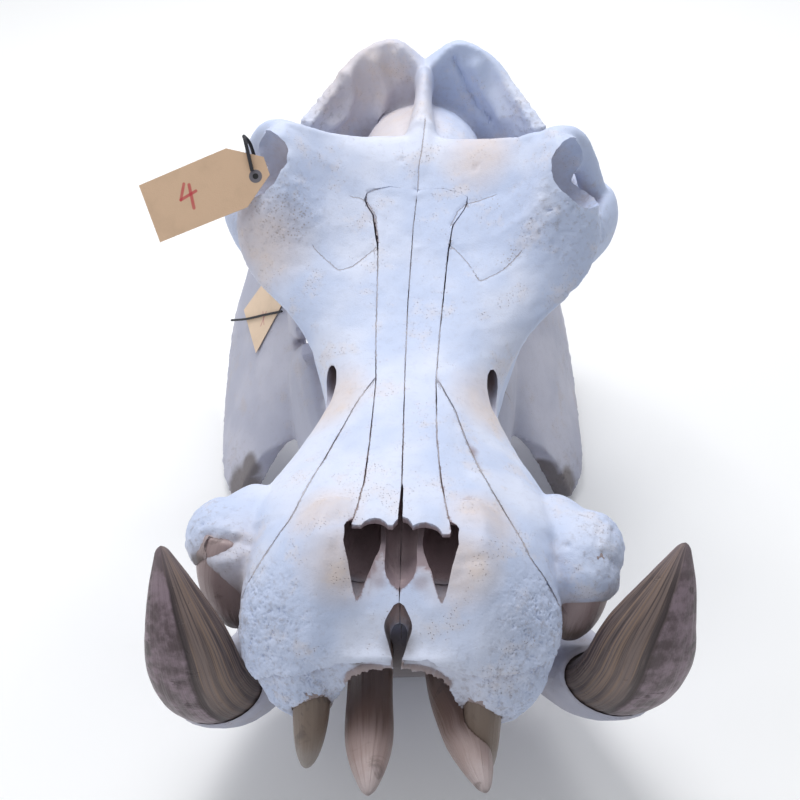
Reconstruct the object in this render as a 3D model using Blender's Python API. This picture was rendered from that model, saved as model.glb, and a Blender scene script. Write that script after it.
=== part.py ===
"""Hippopotamus skull, life size: cranium, nose bones, lower jaw, tusks, front teeth and two tags.

X runs across the skull, Y from the front teeth back to the neck, Z up from the floor.
Sizes are in centimetres, measured from the cranium's middle plane, the front of its muzzle
and the floor, and turn into metres as each piece is made. A bone is roughed out from balls
pulled into tubes and lofts and from bent grids, one voxel remesh fuses it, and then it is cut.
At the end the whole skull is moved so that the middle of its box stands on the origin.
"""
import math

import bmesh
import bpy
import numpy as np
from mathutils import Matrix, Vector

CM = 0.01
GAP = 0.04

# Driving dimensions, in centimetres
WAIST_HALF = 8.2
CHEEK_HALF = 18.3
ARCH_HALF = 19.4
OCCLUSAL_Z = 20.0
PALATE_Z = 22.5
ORBIT_CENTRE = (15.6, 47.95, 41.3)
ORBIT_RADII = (3.5, 3.3, 3.8)
ORBIT_TURN = (0.0, -15.0, -29.0)
NECK_Y = 67.2
JAW_YAW = 3.98
JAW_PIVOT = (0.0, 60.0)
JAW_SHIFT = (-2.39, -0.11)
# Place along the jaw, length and width of each cheek tooth, from the front
CHEEK_TEETH = ((24.0, 3.0, 2.0), (27.6, 3.2, 2.4), (31.1, 3.2, 3.0),
               (35.0, 3.8, 3.6), (39.6, 4.6, 4.2), (44.6, 4.8, 4.0))
CHEEK_ROW_HALF = 5.6
LOWER_ROW_HALF = 5.9
# Corners of the tags, lower outer one first, and the strings' routes and diameters
TAG_1 = ((-25.43, 42.2, 36.0), (-13.78, 44.1, 40.6), (-15.98, 47.6, 45.1), (-27.65, 45.7, 40.3))
TAG_2 = ((-18.87, 51.9, 13.88), (-15.3, 53.06, 20.73), (-18.35, 58.38, 19.35), (-21.13, 58.68, 14.87))
CARD_THICK = 0.06
STRING_1_SPOTS = ((0.885, 0.5), (0.9, 0.75), (0.915, 1.0))
STRING_1_END = ((-17.3, 48.9, 44.2), (-17.0, 50.0, 42.8), (-16.7, 50.3, 41.1))
STRING_1 = 0.36
STRING_2_ROUTE = ((-22.9, 59.3, 12.75), (-20.63, 56.88, 14.93), (-17.96, 54.33, 17.63), (-15.45, 51.9, 20.15))
STRING_2 = 0.28

# Triangles left in each fused bone, and the voxel that fuses it
CRANIUM_FACES = 4180
JAW_FACES = 2200
VOXEL = 0.3

COLOURS = {
    "bone": ((0.86, 0.86, 0.88, 1.0), 0.62),
    "jaw_bone": ((0.78, 0.76, 0.78, 1.0), 0.66),
    "tusk": ((0.42, 0.31, 0.27, 1.0), 0.45),
    "incisor": ((0.62, 0.50, 0.42, 1.0), 0.42),
    "card": ((0.80, 0.62, 0.42, 1.0), 0.85),
    "cream_card": ((0.86, 0.78, 0.60, 1.0), 0.85),
    "string": ((0.03, 0.03, 0.05, 1.0), 0.80),
}


def smooth_line(keys):
    """A function that reads a smooth line through the keys, and its direction, at 0 to 1."""
    keys = np.array(keys, float)
    steps = np.linalg.norm(np.diff(keys[:, :3], axis=0), axis=1) ** 0.5
    knots = np.concatenate([[0.0], np.cumsum(steps)]) / steps.sum()
    slopes = np.gradient(keys, knots, axis=0)

    def read(t):
        t = np.clip(np.asarray(t, float), 0.0, 1.0)
        piece = np.clip(np.searchsorted(knots, t, side="right") - 1, 0, len(knots) - 2)
        width = (knots[piece + 1] - knots[piece])[..., None]
        u = (t - knots[piece])[..., None] / width
        start, end = keys[piece], keys[piece + 1]
        leave, arrive = slopes[piece] * width, slopes[piece + 1] * width
        value = ((2 * u**3 - 3 * u**2 + 1) * start + (u**3 - 2 * u**2 + u) * leave
                 + (3 * u**2 - 2 * u**3) * end + (u**3 - u**2) * arrive)
        way = ((6 * u**2 - 6 * u) * (start - end) + (3 * u**2 - 4 * u + 1) * leave
               + (3 * u**2 - 2 * u) * arrive)
        return value, way
    return read


def unit(vectors):
    """Each vector at length one."""
    return vectors / np.maximum(np.linalg.norm(vectors, axis=-1, keepdims=True), 1e-9)


def rounded_end(t, blunt):
    """How far a tube has swollen to its full size near either end."""
    near = np.clip(np.minimum(t, 1.0 - t) / blunt, 0.0, 1.0)
    return np.sqrt(np.clip(1.0 - (1.0 - near) ** 2, 0.0, 1.0))


def face_out(bm, verts):
    """Turn the faces on these points outward, once the points have been moved."""
    faces = list({face for vert in verts for face in vert.link_faces})
    bm.normal_update()
    bmesh.ops.recalc_face_normals(bm, faces=faces)


def pull_ball(bm, place, around, along, signs):
    """Add a ball whose points are moved by place(angle, height), once for each side's sign."""
    for sign in signs:
        verts = bmesh.ops.create_uvsphere(bm, u_segments=around, v_segments=along, radius=1.0)["verts"]
        co = np.array([v.co for v in verts])
        angle = np.arctan2(co[:, 1], co[:, 0])
        height = np.arccos(np.clip(co[:, 2], -1.0, 1.0)) / math.pi
        placed = place(angle, height) * CM
        placed[:, 0] *= sign
        for vert, where in zip(verts, placed):
            vert.co = where
        face_out(bm, verts)


def add_tube(bm, keys, around=20, along=30, blunt=0.12, signs=(1, -1), square=1.0):
    """A tube along keys of (x, y, z, half width, half height)."""
    read = smooth_line(keys)

    def place(angle, t):
        value, way = read(t)
        way = unit(way[:, :3])
        side = unit(np.cross(way, (0.0, 0.0, 1.0)) + np.array((1e-6, 0.0, 0.0)))
        rise = np.cross(side, way)
        swell = rounded_end(t, blunt)[:, None]
        c, s = np.cos(angle), np.sin(angle)
        c = (np.sign(c) * np.abs(c) ** square)[:, None]
        s = (np.sign(s) * np.abs(s) ** square)[:, None]
        return value[:, :3] + swell * (side * c * value[:, 3:4] + rise * s * value[:, 4:5])
    pull_ball(bm, place, around, along, signs)


def add_curled(bm, keys, around=18, along=30, blunt=0.02, signs=(1, -1)):
    """A tooth whose section turns with its curl: keys of (x, y, z, half thickness, half width)."""
    read = smooth_line(keys)

    def place(angle, t):
        value, way = read(t)
        way = unit(way[:, :3])
        across = unit(np.cross(way, np.cross((0.0, 1.0, 0.0), way)))
        inward = np.cross(across, way)
        swell = rounded_end(t, blunt)[:, None]
        return value[:, :3] + swell * (across * np.cos(angle)[:, None] * value[:, 3:4]
                                       + inward * np.sin(angle)[:, None] * value[:, 4:5])
    pull_ball(bm, place, around, along, signs)


def add_blob(bm, centre, radii, turn=(0.0, 0.0, 0.0), signs=(1, -1), around=24):
    """An ellipsoid, turned by degrees about X, Y and Z."""
    spin = Matrix.Rotation(math.radians(turn[2]), 3, "Z")
    spin = spin @ Matrix.Rotation(math.radians(turn[1]), 3, "Y")
    spin = np.array(spin @ Matrix.Rotation(math.radians(turn[0]), 3, "X"))

    def place(angle, t):
        flat = np.sin(t * math.pi)
        ball = np.stack([flat * np.cos(angle), flat * np.sin(angle), np.cos(t * math.pi)], 1)
        return (ball * radii) @ spin.T + centre
    pull_ball(bm, place, around, around // 2, signs)


def add_plate(bm, rows, across=30, along=24, signs=(1, -1)):
    """A curved plate through rows of (x, y, z, half thickness)."""
    lines = np.stack([smooth_line(row)(np.linspace(0, 1, across))[0] for row in rows])
    sheet = np.stack([smooth_line(lines[:, i])(np.linspace(0, 1, along))[0] for i in range(across)])
    middle, thick = sheet[..., :3], sheet[..., 3:4]
    normal = unit(np.cross(np.gradient(middle, axis=0), np.gradient(middle, axis=1)))
    for sign in signs:
        made = bmesh.ops.create_grid(bm, x_segments=across - 1, y_segments=along - 1, size=1.0)["verts"]
        raised = bmesh.ops.extrude_face_region(bm, geom=list({f for v in made for f in v.link_faces}))
        tops = [part for part in raised["geom"] if isinstance(part, bmesh.types.BMVert)]
        for verts, face_side in ((made, -1.0), (tops, 1.0)):
            for vert in verts:
                i = round((vert.co.x + 1) / 2 * (across - 1))
                j = round((vert.co.y + 1) / 2 * (along - 1))
                x, y, z = (middle[i, j] + face_side * normal[i, j] * thick[i, j]) * CM
                vert.co = (sign * x, y, z)
        face_out(bm, made + tops)


def add_loft(bm, stations, half_points=26, along=44, blunt=0.04):
    """A solid through stations of (y, half outline from the top middle to the bottom middle)."""
    rings = []
    for y, outline in stations:
        half = smooth_line([(x, 0.0, z) for x, z in outline])(np.linspace(0, 1, half_points))[0]
        half = half[:, (0, 2)]
        half[0, 0] = half[-1, 0] = 0.0
        ring = np.concatenate([half, half[-2:0:-1] * (-1, 1)])
        rings.append(np.column_stack([ring[:, 0], np.full(len(ring), y), ring[:, 1]]))
    rings = np.array(rings)
    around = rings.shape[1]
    reads = [smooth_line(rings[:, i]) for i in range(around)]
    middles = smooth_line(rings.mean(axis=1))

    def place(angle, t):
        index = np.round(angle / (2 * math.pi) * around).astype(int) % around
        skin = np.array([reads[i](h)[0] for i, h in zip(index, t)])
        core = middles(t)[0]
        return core + (skin - core) * rounded_end(t, blunt)[:, None]
    pull_ball(bm, place, around, along, (1,))


def read_keys(keys):
    """A function of y through (y, value) keys."""
    places, values = zip(*keys)
    return lambda y: float(np.interp(y, places, values))


def add_prism(bm, places, left, right, under, grow=0.0, across=4):
    """A block open to the sky through places along y; left, right and under are read at each y."""
    def spread(read, y):
        slope = (read(y + 0.05) - read(y - 0.05)) / 0.1
        return grow * math.sqrt(1.0 + slope * slope)

    along = len(places) - 1
    made = bmesh.ops.create_grid(bm, x_segments=across, y_segments=along, size=1.0)["verts"]
    raised = bmesh.ops.extrude_face_region(bm, geom=list(bm.faces))
    tops = [part for part in raised["geom"] if isinstance(part, bmesh.types.BMVert)]
    for verts, top in ((made, False), (tops, True)):
        for vert in verts:
            y = places[round((vert.co.y + 1) / 2 * along)]
            low = left(y) - spread(left, y)
            high = right(y) + spread(right, y)
            x = low + (high - low) * (vert.co.x + 1) / 2
            vert.co = Vector((x, y, 60.0 if top else under(y) - spread(under, y))) * CM
    bmesh.ops.triangulate(bm, faces=bm.faces)
    face_out(bm, bm.verts)


def add_box(bm, low, high):
    """A box between two corners."""
    low, high = Vector(low), Vector(high)
    box = bmesh.ops.create_cube(bm, size=1.0)["verts"]
    bmesh.ops.scale(bm, verts=box, vec=(high - low) * CM)
    bmesh.ops.translate(bm, verts=box, vec=(high + low) * 0.5 * CM)


def new_object(name, bm):
    """A mesh object from a bmesh."""
    mesh = bpy.data.meshes.new(name)
    bm.to_mesh(mesh)
    bm.free()
    body = bpy.data.objects.new(name, mesh)
    bpy.context.collection.objects.link(body)
    return body


def copy_of(body, name):
    """A second object with a mesh of its own."""
    twin = bpy.data.objects.new(name, body.data.copy())
    bpy.context.collection.objects.link(twin)
    return twin


def apply_modifiers(body):
    """Bake an object's modifiers into its mesh."""
    depsgraph = bpy.context.evaluated_depsgraph_get()
    mesh = bpy.data.meshes.new_from_object(body.evaluated_get(depsgraph))
    body.modifiers.clear()
    body.data = mesh


def fuse(body, voxel, rounds):
    """Melt an object's overlapping pieces into one skin and soften it."""
    remesh = body.modifiers.new("melt", "REMESH")
    remesh.mode = "VOXEL"
    remesh.voxel_size = voxel * CM
    soften = body.modifiers.new("soften", "SMOOTH")
    soften.factor = 0.5
    soften.iterations = rounds
    apply_modifiers(body)


def mend(body):
    """Close an object again where thinning has pinched its skin."""
    bm = bmesh.new()
    bm.from_mesh(body.data)
    for _ in range(4):
        bmesh.ops.triangulate(bm, faces=bm.faces)
        bmesh.ops.dissolve_degenerate(bm, edges=bm.edges, dist=1e-5)
        bad = {vert for edge in bm.edges if not edge.is_manifold for vert in edge.verts}
        if not bad:
            break
        bmesh.ops.delete(bm, geom=list({f for v in bad for f in v.link_faces}), context="FACES")
        bmesh.ops.delete(bm, geom=[v for v in bm.verts if not v.link_faces], context="VERTS")
        bmesh.ops.holes_fill(bm, edges=bm.edges, sides=0)
    bmesh.ops.triangulate(bm, faces=bm.faces)
    face_out(bm, bm.verts)
    bm.to_mesh(body.data)
    bm.free()


def thin_out(body, faces):
    """Leave about so many triangles."""
    have = sum(len(p.vertices) - 2 for p in body.data.polygons)
    thin = body.modifiers.new("thin", "DECIMATE")
    thin.ratio = min(1.0, faces / have)
    apply_modifiers(body)
    mend(body)


def boolean(body, other, operation):
    """Cut away another object, or keep the space shared with it."""
    step = body.modifiers.new("cut", "BOOLEAN")
    step.operation = operation
    step.object = other
    step.solver = "MANIFOLD"
    apply_modifiers(body)


def cut(body, fill):
    """Cut away a tool, which fill(bm) shapes."""
    bm = bmesh.new()
    fill(bm)
    tool = new_object("tool", bm)
    boolean(body, tool, "DIFFERENCE")
    bpy.data.objects.remove(tool)


def keep_largest(body):
    """Keep only the largest closed surface of an object, in triangles."""
    bm = bmesh.new()
    bm.from_mesh(body.data)
    bmesh.ops.remove_doubles(bm, verts=bm.verts, dist=1e-6)
    left = set(bm.faces)
    islands = []
    while left:
        island, edge = set(), [left.pop()]
        while edge:
            face = edge.pop()
            island.add(face)
            near = {f for e in face.edges for f in e.link_faces if f in left}
            left -= near
            edge.extend(near)
        islands.append(island)
    best = max(islands, key=lambda island: sum(face.calc_area() for face in island))
    bmesh.ops.delete(bm, geom=[f for f in bm.faces if f not in best], context="FACES")
    bmesh.ops.triangulate(bm, faces=bm.faces)
    bm.to_mesh(body.data)
    bm.free()


def finish(body, kind):
    """Give an object its own material and smooth shading."""
    colour, rough = COLOURS[kind]
    material = bpy.data.materials.new(body.name)
    material.use_nodes = True
    shader = material.node_tree.nodes["Principled BSDF"]
    shader.inputs["Base Color"].default_value = colour
    shader.inputs["Roughness"].default_value = rough
    body.data.materials.clear()
    body.data.materials.append(material)
    if body.type == "MESH":
        body.data.shade_smooth()
        body.data.set_sharp_from_angle(angle=math.radians(50))


def muzzle_forms(bm):
    """The two broad front lobes, with the rims of the nose opening."""
    add_loft(bm, (
        (12.5, ((0, 30.8), (2.4, 30.8), (4.4, 32.3), (8.6, 30.4), (11.6, 29.0), (13.2, 27),
                (12.8, 23), (9.5, 19.8), (5.6, 20.4), (2.8, 21.2), (0, 21.6))),
        (8, ((0, 30.2), (2.4, 30.2), (4.9, 32.8), (8.6, 31), (11.4, 28.9), (13.3, 25.8),
             (13, 21.4), (9, 17.9), (5.6, 19.4), (3, 21.6), (0, 22.4))),
        (5.5, ((0, 29.6), (2.6, 29.7), (4.9, 31.4), (8.4, 30.2), (11.3, 28), (13.3, 25),
               (13, 21), (9, 17.2), (5.6, 18.6), (3.4, 22.4), (0, 24))),
        (3.6, ((0, 28.8), (2.6, 29), (5, 29.6), (8.4, 28.8), (11.2, 26.8), (13.1, 24),
               (12.6, 20.6), (8.8, 16.9), (5.6, 18.4), (3.6, 23.4), (0, 24.8))),
        (1.8, ((0, 26.6), (2.6, 26.8), (5, 27.2), (8, 27), (10.6, 25.2), (12.2, 22.8),
               (11.7, 20), (8.6, 16.7), (5.8, 18.4), (3.7, 23.8), (0, 25))),
        (0.3, ((0, 25.8), (2.4, 25.7), (4.6, 25.5), (7.6, 25), (9.8, 23.8), (11, 21.8),
               (10.6, 19.6), (8.4, 17.0), (6.1, 18.8), (4, 23.6), (0, 25.2))),
    ), blunt=0.03, along=30)
    add_blob(bm, (8, 2.8, 21.4), (3.4, 3.5, 4.3))


def face_forms(bm):
    """Nose roof, cheeks and forehead as one loft from the muzzle to the braincase."""
    add_loft(bm, (
        (9.6, ((0, 32.6), (4, 32.4), (9, 30.3), (12.8, 28.6), (14, 26), (13.4, 22), (11, 19.5), (0, 20.5))),
        (14, ((0, 32.3), (3.4, 32.1), (8.2, 30.5), (12, 28.7), (13.6, 26.5), (12.8, 22.5), (10, 20.3), (0, 21.2))),
        (18, ((0, 31.8), (3, 31.6), (7.3, 30.1), (10.8, 28.4), (12.5, 26.4), (11.5, 23), (8.5, 21.2), (0, 21.8))),
        (24, ((0, 31.3), (3, 31.1), (5.9, 29.9), (8.7, 27.9), (10.2, 25.6), (9.6, 23), (7.8, 21.6), (0, 22.3))),
        (30, ((0, 31), (3.3, 30.9), (5.6, 30.1), (7.4, 28.3), (WAIST_HALF, 25.8), (8.2, 23.5), (7.8, 21.8),
              (0, PALATE_Z))),
        (34, ((0, 31.5), (3.5, 31.5), (6.2, 31.1), (8.5, 30.0), (9.4, 28.4), (8.9, 25.5), (8.5, 22), (0, 22.8))),
        (38, ((0, 32.5), (3.8, 32.7), (7.4, 33), (11, 32.7), (12.7, 31.2), (10.6, 28.4), (9.3, 22.3), (0, 23))),
        (42, ((0, 33.9), (4, 34.3), (8.5, 35.5), (13, 36), (16.8, 33), (12.8, 29.8), (9.8, 22.6), (0, 23))),
        (45, ((0, 35.4), (4, 36), (9, 38.3), (13.8, 41.6), (CHEEK_HALF, 35.6), (14.6, 30.6), (9.6, 23), (0, 23.2))),
        (48, ((0, 37.1), (4, 37.6), (9, 40.2), (14, 44.6), (17.2, 41), (17.3, 32.8), (9, 24), (0, 23.6))),
        (50.5, ((0, 38.6), (4, 39.2), (8.5, 41.5), (13.8, 45), (16.2, 42.5), (14.6, 37), (7, 27), (0, 24.4))),
        (53, ((0, 40.2), (4, 40.7), (7.6, 41.9), (9.5, 42.2), (8, 39), (6, 34), (4.6, 27.5), (0, 25.5))),
        (57, ((0, 41.9), (1.6, 41.5), (3.2, 40.2), (4.4, 38), (5, 35.5), (5, 32), (4, 28), (0, 26.5))),
    ))
    # Sockets of the upper canines, the left one longer
    for sign, low in ((1, (15, 9.2, 22.4, 3.5, 3.7)), (-1, (15.2, 10.4, 24.2, 3.3, 3.2))):
        add_tube(bm, ((11, 17.8, 25.4, 2.8, 2.6), (13.6, 14.8, 25, 3.4, 3.3), (14.9, 12, 24.3, 3.7, 4.2), low),
                 blunt=0.2, signs=(sign,))
    add_blob(bm, (15.9, 13.2, 25.4), (3.2, 3.8, 3.0))
    # The right socket's wall, which runs on down the inner side of its canine
    add_tube(bm, ((15.4, 11.6, 27, 2.6, 2.6), (14.3, 10.9, 24.4, 2.3, 2.6), (12.8, 10.9, 21.4, 1.6, 1.8)),
             signs=(-1,), blunt=0.2)
    # Tips of the nose roof
    add_loft(bm, (
        (7, ((0, 32.0), (2, 32.0), (4.1, 31.9), (4.4, 31.6), (3.6, 31.2), (0, 31.1))),
        (10, ((0, 32.5), (2, 32.5), (4.1, 32.2), (4.4, 31.8), (3.6, 31.3), (0, 31.2))),
        (13, ((0, 32.3), (2, 32.2), (3.9, 31.9), (4.2, 31.2), (3.6, 30.6), (0, 30.5))),
    ), half_points=12, along=12, blunt=0.03)


def cheek_forms(bm):
    """The cheek arch, its root by the jaw joint, and the bar behind the eye."""
    add_tube(bm, ((15.4, 44.5, 34.2, 1.6, 2.5), (17.8, 48, 33.8, 1.5, 2.9), (ARCH_HALF, 52, 33.7, 1.4, 3),
                  (19.2, 56, 32.8, 1.4, 2.6), (17.6, 60, 32, 1.7, 2.3), (14, 63, 31.6, 2, 2.2)), blunt=0.1)
    add_tube(bm, ((13, 51.2, 43.6, 1.2, 1.3), (15.2, 51.9, 42.8, 1, 1.4), (16.6, 52.2, 40.4, 0.9, 1.4),
                  (17.6, 52.4, 37.6, 1, 1.4), (18.6, 52.6, 35, 1.2, 1.5)), blunt=0.1)
    add_blob(bm, (13.6, 51.4, 41.4), (2.6, 1.7, 3.2))
    add_tube(bm, ((17.4, 59.6, 31.6, 2.4, 1.6), (13, 61.6, 31, 2.6, 1.8), (8, 62, 30.6, 2.8, 2.2),
                  (4, 61.5, 30.6, 2.6, 2.2)))


def neck_forms(bm):
    """Braincase, its crest, the neck shield and the skull's base."""
    add_blob(bm, (0, 60.5, 35), (6.6, 7.8, 5.4), signs=(1,))
    add_tube(bm, ((0, 50, 36.4, 3, 1.4), (0, 54, 38.9, 2.6, 2), (0, 58, 40.3, 1.4, 2.3), (0, 63, 41.2, 0.9, 2.8),
                  (0, 66, 42, 1.2, 2.7)), signs=(1,), blunt=0.08)
    add_plate(bm, (
        ((0, 66, 28.5, 1.6), (4, 66, 28.5, 1.6), (8, 65, 29, 1.6), (12, 63.4, 30, 1.6), (15, 61.5, 31.5, 1.4)),
        ((0, 66.8, 36, 1.2), (4, 66.6, 36.4, 1.2), (8, 65.4, 36.4, 1.2), (11.4, 62.6, 36, 1), (13.8, 60.4, 35.4, 0.9)),
        ((0, 66, 43.6, 0.9), (3.4, NECK_Y, 45.8, 0.6), (7, 66.9, 44.4, 0.6), (9.6, 64.4, 42, 0.6),
         (12.6, 60.4, 39.4, 0.7)),
    ))
    add_tube(bm, ((0, 43, 25, 3.6, 2.2), (0, 52, 27, 3.4, 2.6), (0, 60, 29, 4, 2.8), (0, 67, 30, 4.4, 2.6)),
             signs=(1,))
    # Joints with the neck, the points beside them and the ear bones
    add_blob(bm, (3.7, 68.4, 28.6), (2.4, 1.9, 3.1), turn=(0, 20, 0))
    add_tube(bm, ((6.4, 64.5, 31, 2, 2), (6.9, 65.6, 27.5, 1.3, 1.5), (6.9, 66.2, 23.6, 0.8, 0.9)), blunt=0.2)
    add_blob(bm, (6, 60.4, 27.4), (1.8, 2.6, 2.2))
    # Wings beside the throat
    add_plate(bm, (
        ((3.9, 46, 26, 0.7), (4.2, 50, 27, 0.7), (4.2, 54, 28, 0.7)),
        ((4.2, 47, 21.4, 0.5), (4.6, 50, 21.4, 0.5), (4.6, 53, 23.4, 0.5)),
    ), across=14, along=14)


def add_cheek_teeth(bm, row_half, crown_end, root_z):
    """Both rows of cheek teeth, each a pair of cusps on long roots."""
    for y, length, width in CHEEK_TEETH:
        x = row_half + 0.05 * (y - CHEEK_TEETH[0][0])
        for part in (-0.25, 0.25):
            place = y + part * length
            add_tube(bm, ((x, place, root_z, width / 2, length * 0.3),
                          (x, place, (root_z + crown_end) / 2, width / 2, length * 0.3),
                          (x, place, crown_end, width / 2.2, length * 0.27)),
                     around=10, along=8, blunt=0.06, square=0.8)


def cut_openings(cranium):
    """Eye sockets, nerve openings and the neck hole."""
    x, y, z = ORBIT_CENTRE
    cut(cranium, lambda bm: add_blob(bm, ORBIT_CENTRE, ORBIT_RADII, turn=ORBIT_TURN))
    cut(cranium, lambda bm: add_tube(bm, ((x - 0.6, y + 0.8, z - 4, 1.5, 1.5), (x - 2.2, y + 4, z - 7, 2.0, 2.2),
                                          (x - 4, y + 9, z - 9, 2.6, 2.8))))
    cut(cranium, lambda bm: add_tube(bm, (
        (8.3, 27.6, 27.4, 0.6, 1.4), (7.6, 31.4, 27.7, 0.75, 1.6), (7.3, 36, 28, 0.4, 0.8)), around=14, along=16))
    cut(cranium, lambda bm: add_tube(bm, ((0, 62.5, 31, 1.4, 1.3), (0, 71, 31.2, 1.9, 1.7)), signs=(1,),
                                     around=16, along=12))


def open_nose(parts):
    """The nose passages with their mouths, the trough between them and the slit between the lobes."""
    air = (
        # Open space under and before the nose roof
        (((0, 1.5, 32.6, 3.6, 1.9), (0, 5, 32.0, 4.2, 1.2), (0, 8, 31.3, 4.2, 1.0), (0, 11, 30.8, 3.9, 1),
          (0, 18, 29.9, 3.2, 0.6)), (1,), 1.0),
        # Passages, each opening in a V that runs down the lobe
        (((3.4, 3.9, 29.8, 0.1, 0.6), (3.4, 5, 29.8, 0.5, 1.6), (3.4, 6.2, 29.8, 0.95, 2.4), (3.5, 8.2, 29.8, 1.75, 3.1),
          (3.4, 9.5, 29.2, 1.7, 2.2), (3.3, 13, 28.6, 1.5, 2), (3.2, 20, 27.8, 1.4, 2), (3, 27, 27.6, 1.2, 1.7)),
         (1, -1), 0.6),
        # Trough of the dividing bone
        (((0, 4.9, 30.4, 0.3, 0.5), (0, 6, 30.2, 1.15, 1.3), (0, 8.4, 29.8, 1.35, 1.7), (0, 20, 29, 1.2, 1.3)),
         (1,), 1.0),
        # Slit between the lobes
        (((0, 4.7, 28.6, 0.3, 2.2), (0, 3.3, 27.6, 1.15, 4), (0, 1.8, 26.4, 0.7, 5), (0, 0.5, 25.6, 0.3, 5.4),
          (0, -1.4, 25, 0.25, 6)), (1,), 1.0),
    )
    for name in ("cranium", "premaxilla_left", "premaxilla_right"):
        for keys, signs, square in air:
            cut(parts[name], lambda bm: add_tube(bm, keys, around=12, along=16, blunt=0.04, signs=signs,
                                                     square=square))
    # Scalloped tips of the nose roof
    for name, front, bites in (
            ("nasal_right", 8.9, ((-2.2, 8.2, 1.3, 1.4), (0.1, 7.9, 1, 1.9), (-0.15, 9, 0.2, 4.8), (-4.5, 8.2, 0.6, 1.2))),
            ("nasal_left", 8.3, ((1.9, 8, 1.5, 1.3), (0.1, 7.9, 1, 1.9), (-0.15, 9, 0.2, 4.8), (4.5, 8, 0.6, 1.2)))):
        cut(parts[name], lambda bm: add_box(bm, (-6, 4, 28), (6, front, 34)))
        for bite_x, bite_y, wide, deep in bites:
            cut(parts[name], lambda bm: add_blob(bm, (bite_x, bite_y, 31.6), (wide, deep, 5), signs=(1,), around=12))



# Seams seen from above as (y, x): the middle one, the outer edges of the nose bones and of the
# front lobes on the left and on the right, and how low each bone reaches as (y, z)
MIDDLE = read_keys(((6, 0), (10.4, -0.12), (19.6, -0.35), (29.7, -0.6), (38.3, -0.67), (45.7, -0.48), (50, -0.15)))
NOSE_EDGES = (
    ((6, 4.3), (8, 4.1), (10.8, 3.6), (14.4, 3.06), (19.9, 2.61), (28.4, 2.33), (34.9, 2.55), (40.5, 2.89),
     (43.5, 3.1), (46, 3.5), (47.3, 4.6), (48.3, 5.0), (49.2, 3.8), (50, 1.2)),
    ((6, 4.3), (9, 4.05), (10.2, 3.8), (14.1, 3.35), (19.7, 3.26), (28.3, 3.24), (33.5, 3.55), (38, 3.7),
     (42.3, 3.83), (44.2, 3.95), (46.6, 4.5), (47.6, 5.4), (48.6, 5.2), (49.4, 3.8), (50, 1.2)))
NOSE_UNDER = read_keys(((6, 31.75), (9, 31.8), (10.5, 31.6), (12, 31.2), (14, 30.7), (22, 30.1),
                        (30, 29.6), (38, 31), (44, 33.4), (50, 37)))
NOSE_PLACES = (6.4, 8.6, 10, 12, 15, 18, 22, 26, 30, 34, 38, 42, 44, 46, 47.4, 48.6, 49.6)
LOBE_EDGES = (
    ((-8, 16), (4.5, 15), (5.8, 14.4), (7.2, 12), (8.1, 10.6), (10.6, 9.3), (14.7, 7.25), (19.7, 5.55),
     (24.7, 4.15), (28.8, 2.36)),
    ((-8, 16), (4.5, 15), (5.8, 14.4), (7.3, 11.9), (8.7, 10.7), (10.9, 9.4), (16.3, 7.8), (21, 6.5),
     (25.4, 5), (28.8, 3.26)))
LOBE_UNDER = read_keys(((6, 10), (8, 18), (12, 24.5), (28.8, 28.6)))
LOBE_PLACES = (-8, 4, 5, 6, 7, 7.8, 8.6, 9.4, 10.6, 12, 13.8, 15.6, 18, 21, 23, 25.2, 27, 28.8)


def split_cranium(cranium):
    """Part the nose bones and the two front lobes from the cranium with thin cuts."""
    parts = {"cranium": cranium}
    for name, edges, under, places in (("nasal_", NOSE_EDGES, NOSE_UNDER, NOSE_PLACES),
                                       ("premaxilla_", LOBE_EDGES, LOBE_UNDER, LOBE_PLACES)):
        left_edge, right_edge = (read_keys(keys) for keys in edges)
        sides = (("left", lambda y: MIDDLE(y) + GAP / 2, left_edge),
                 ("right", lambda y: -right_edge(y), lambda y: MIDDLE(y) - GAP / 2))
        for side, low, high in sides:
            bm = bmesh.new()
            add_prism(bm, places, low, high, under)
            tool = new_object("tool", bm)
            bone = copy_of(cranium, name + side)
            boolean(bone, tool, "INTERSECT")
            bpy.data.objects.remove(tool)
            parts[name + side] = bone
        room = (places[0] - 4,) + places + (places[-1] + GAP,)
        cut(cranium, lambda bm: add_prism(bm, room, lambda y: -right_edge(y), left_edge, under, GAP))
    return parts


def make_cranium():
    """The cranium, the nose bones and the front lobes."""
    bm = bmesh.new()
    muzzle_forms(bm)
    face_forms(bm)
    cheek_forms(bm)
    neck_forms(bm)
    add_cheek_teeth(bm, CHEEK_ROW_HALF, OCCLUSAL_Z - 0.4, PALATE_Z + 1.0)
    cranium = new_object("cranium", bm)
    fuse(cranium, VOXEL, 5)
    cut_openings(cranium)
    thin_out(cranium, CRANIUM_FACES)
    cut(cranium, lambda bm: add_box(bm, (-30, 20, 0), (30, 52, OCCLUSAL_Z + GAP)))
    parts = split_cranium(cranium)
    open_nose(parts)
    for body in parts.values():
        keep_largest(body)
        finish(body, "bone")
    return parts


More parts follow.
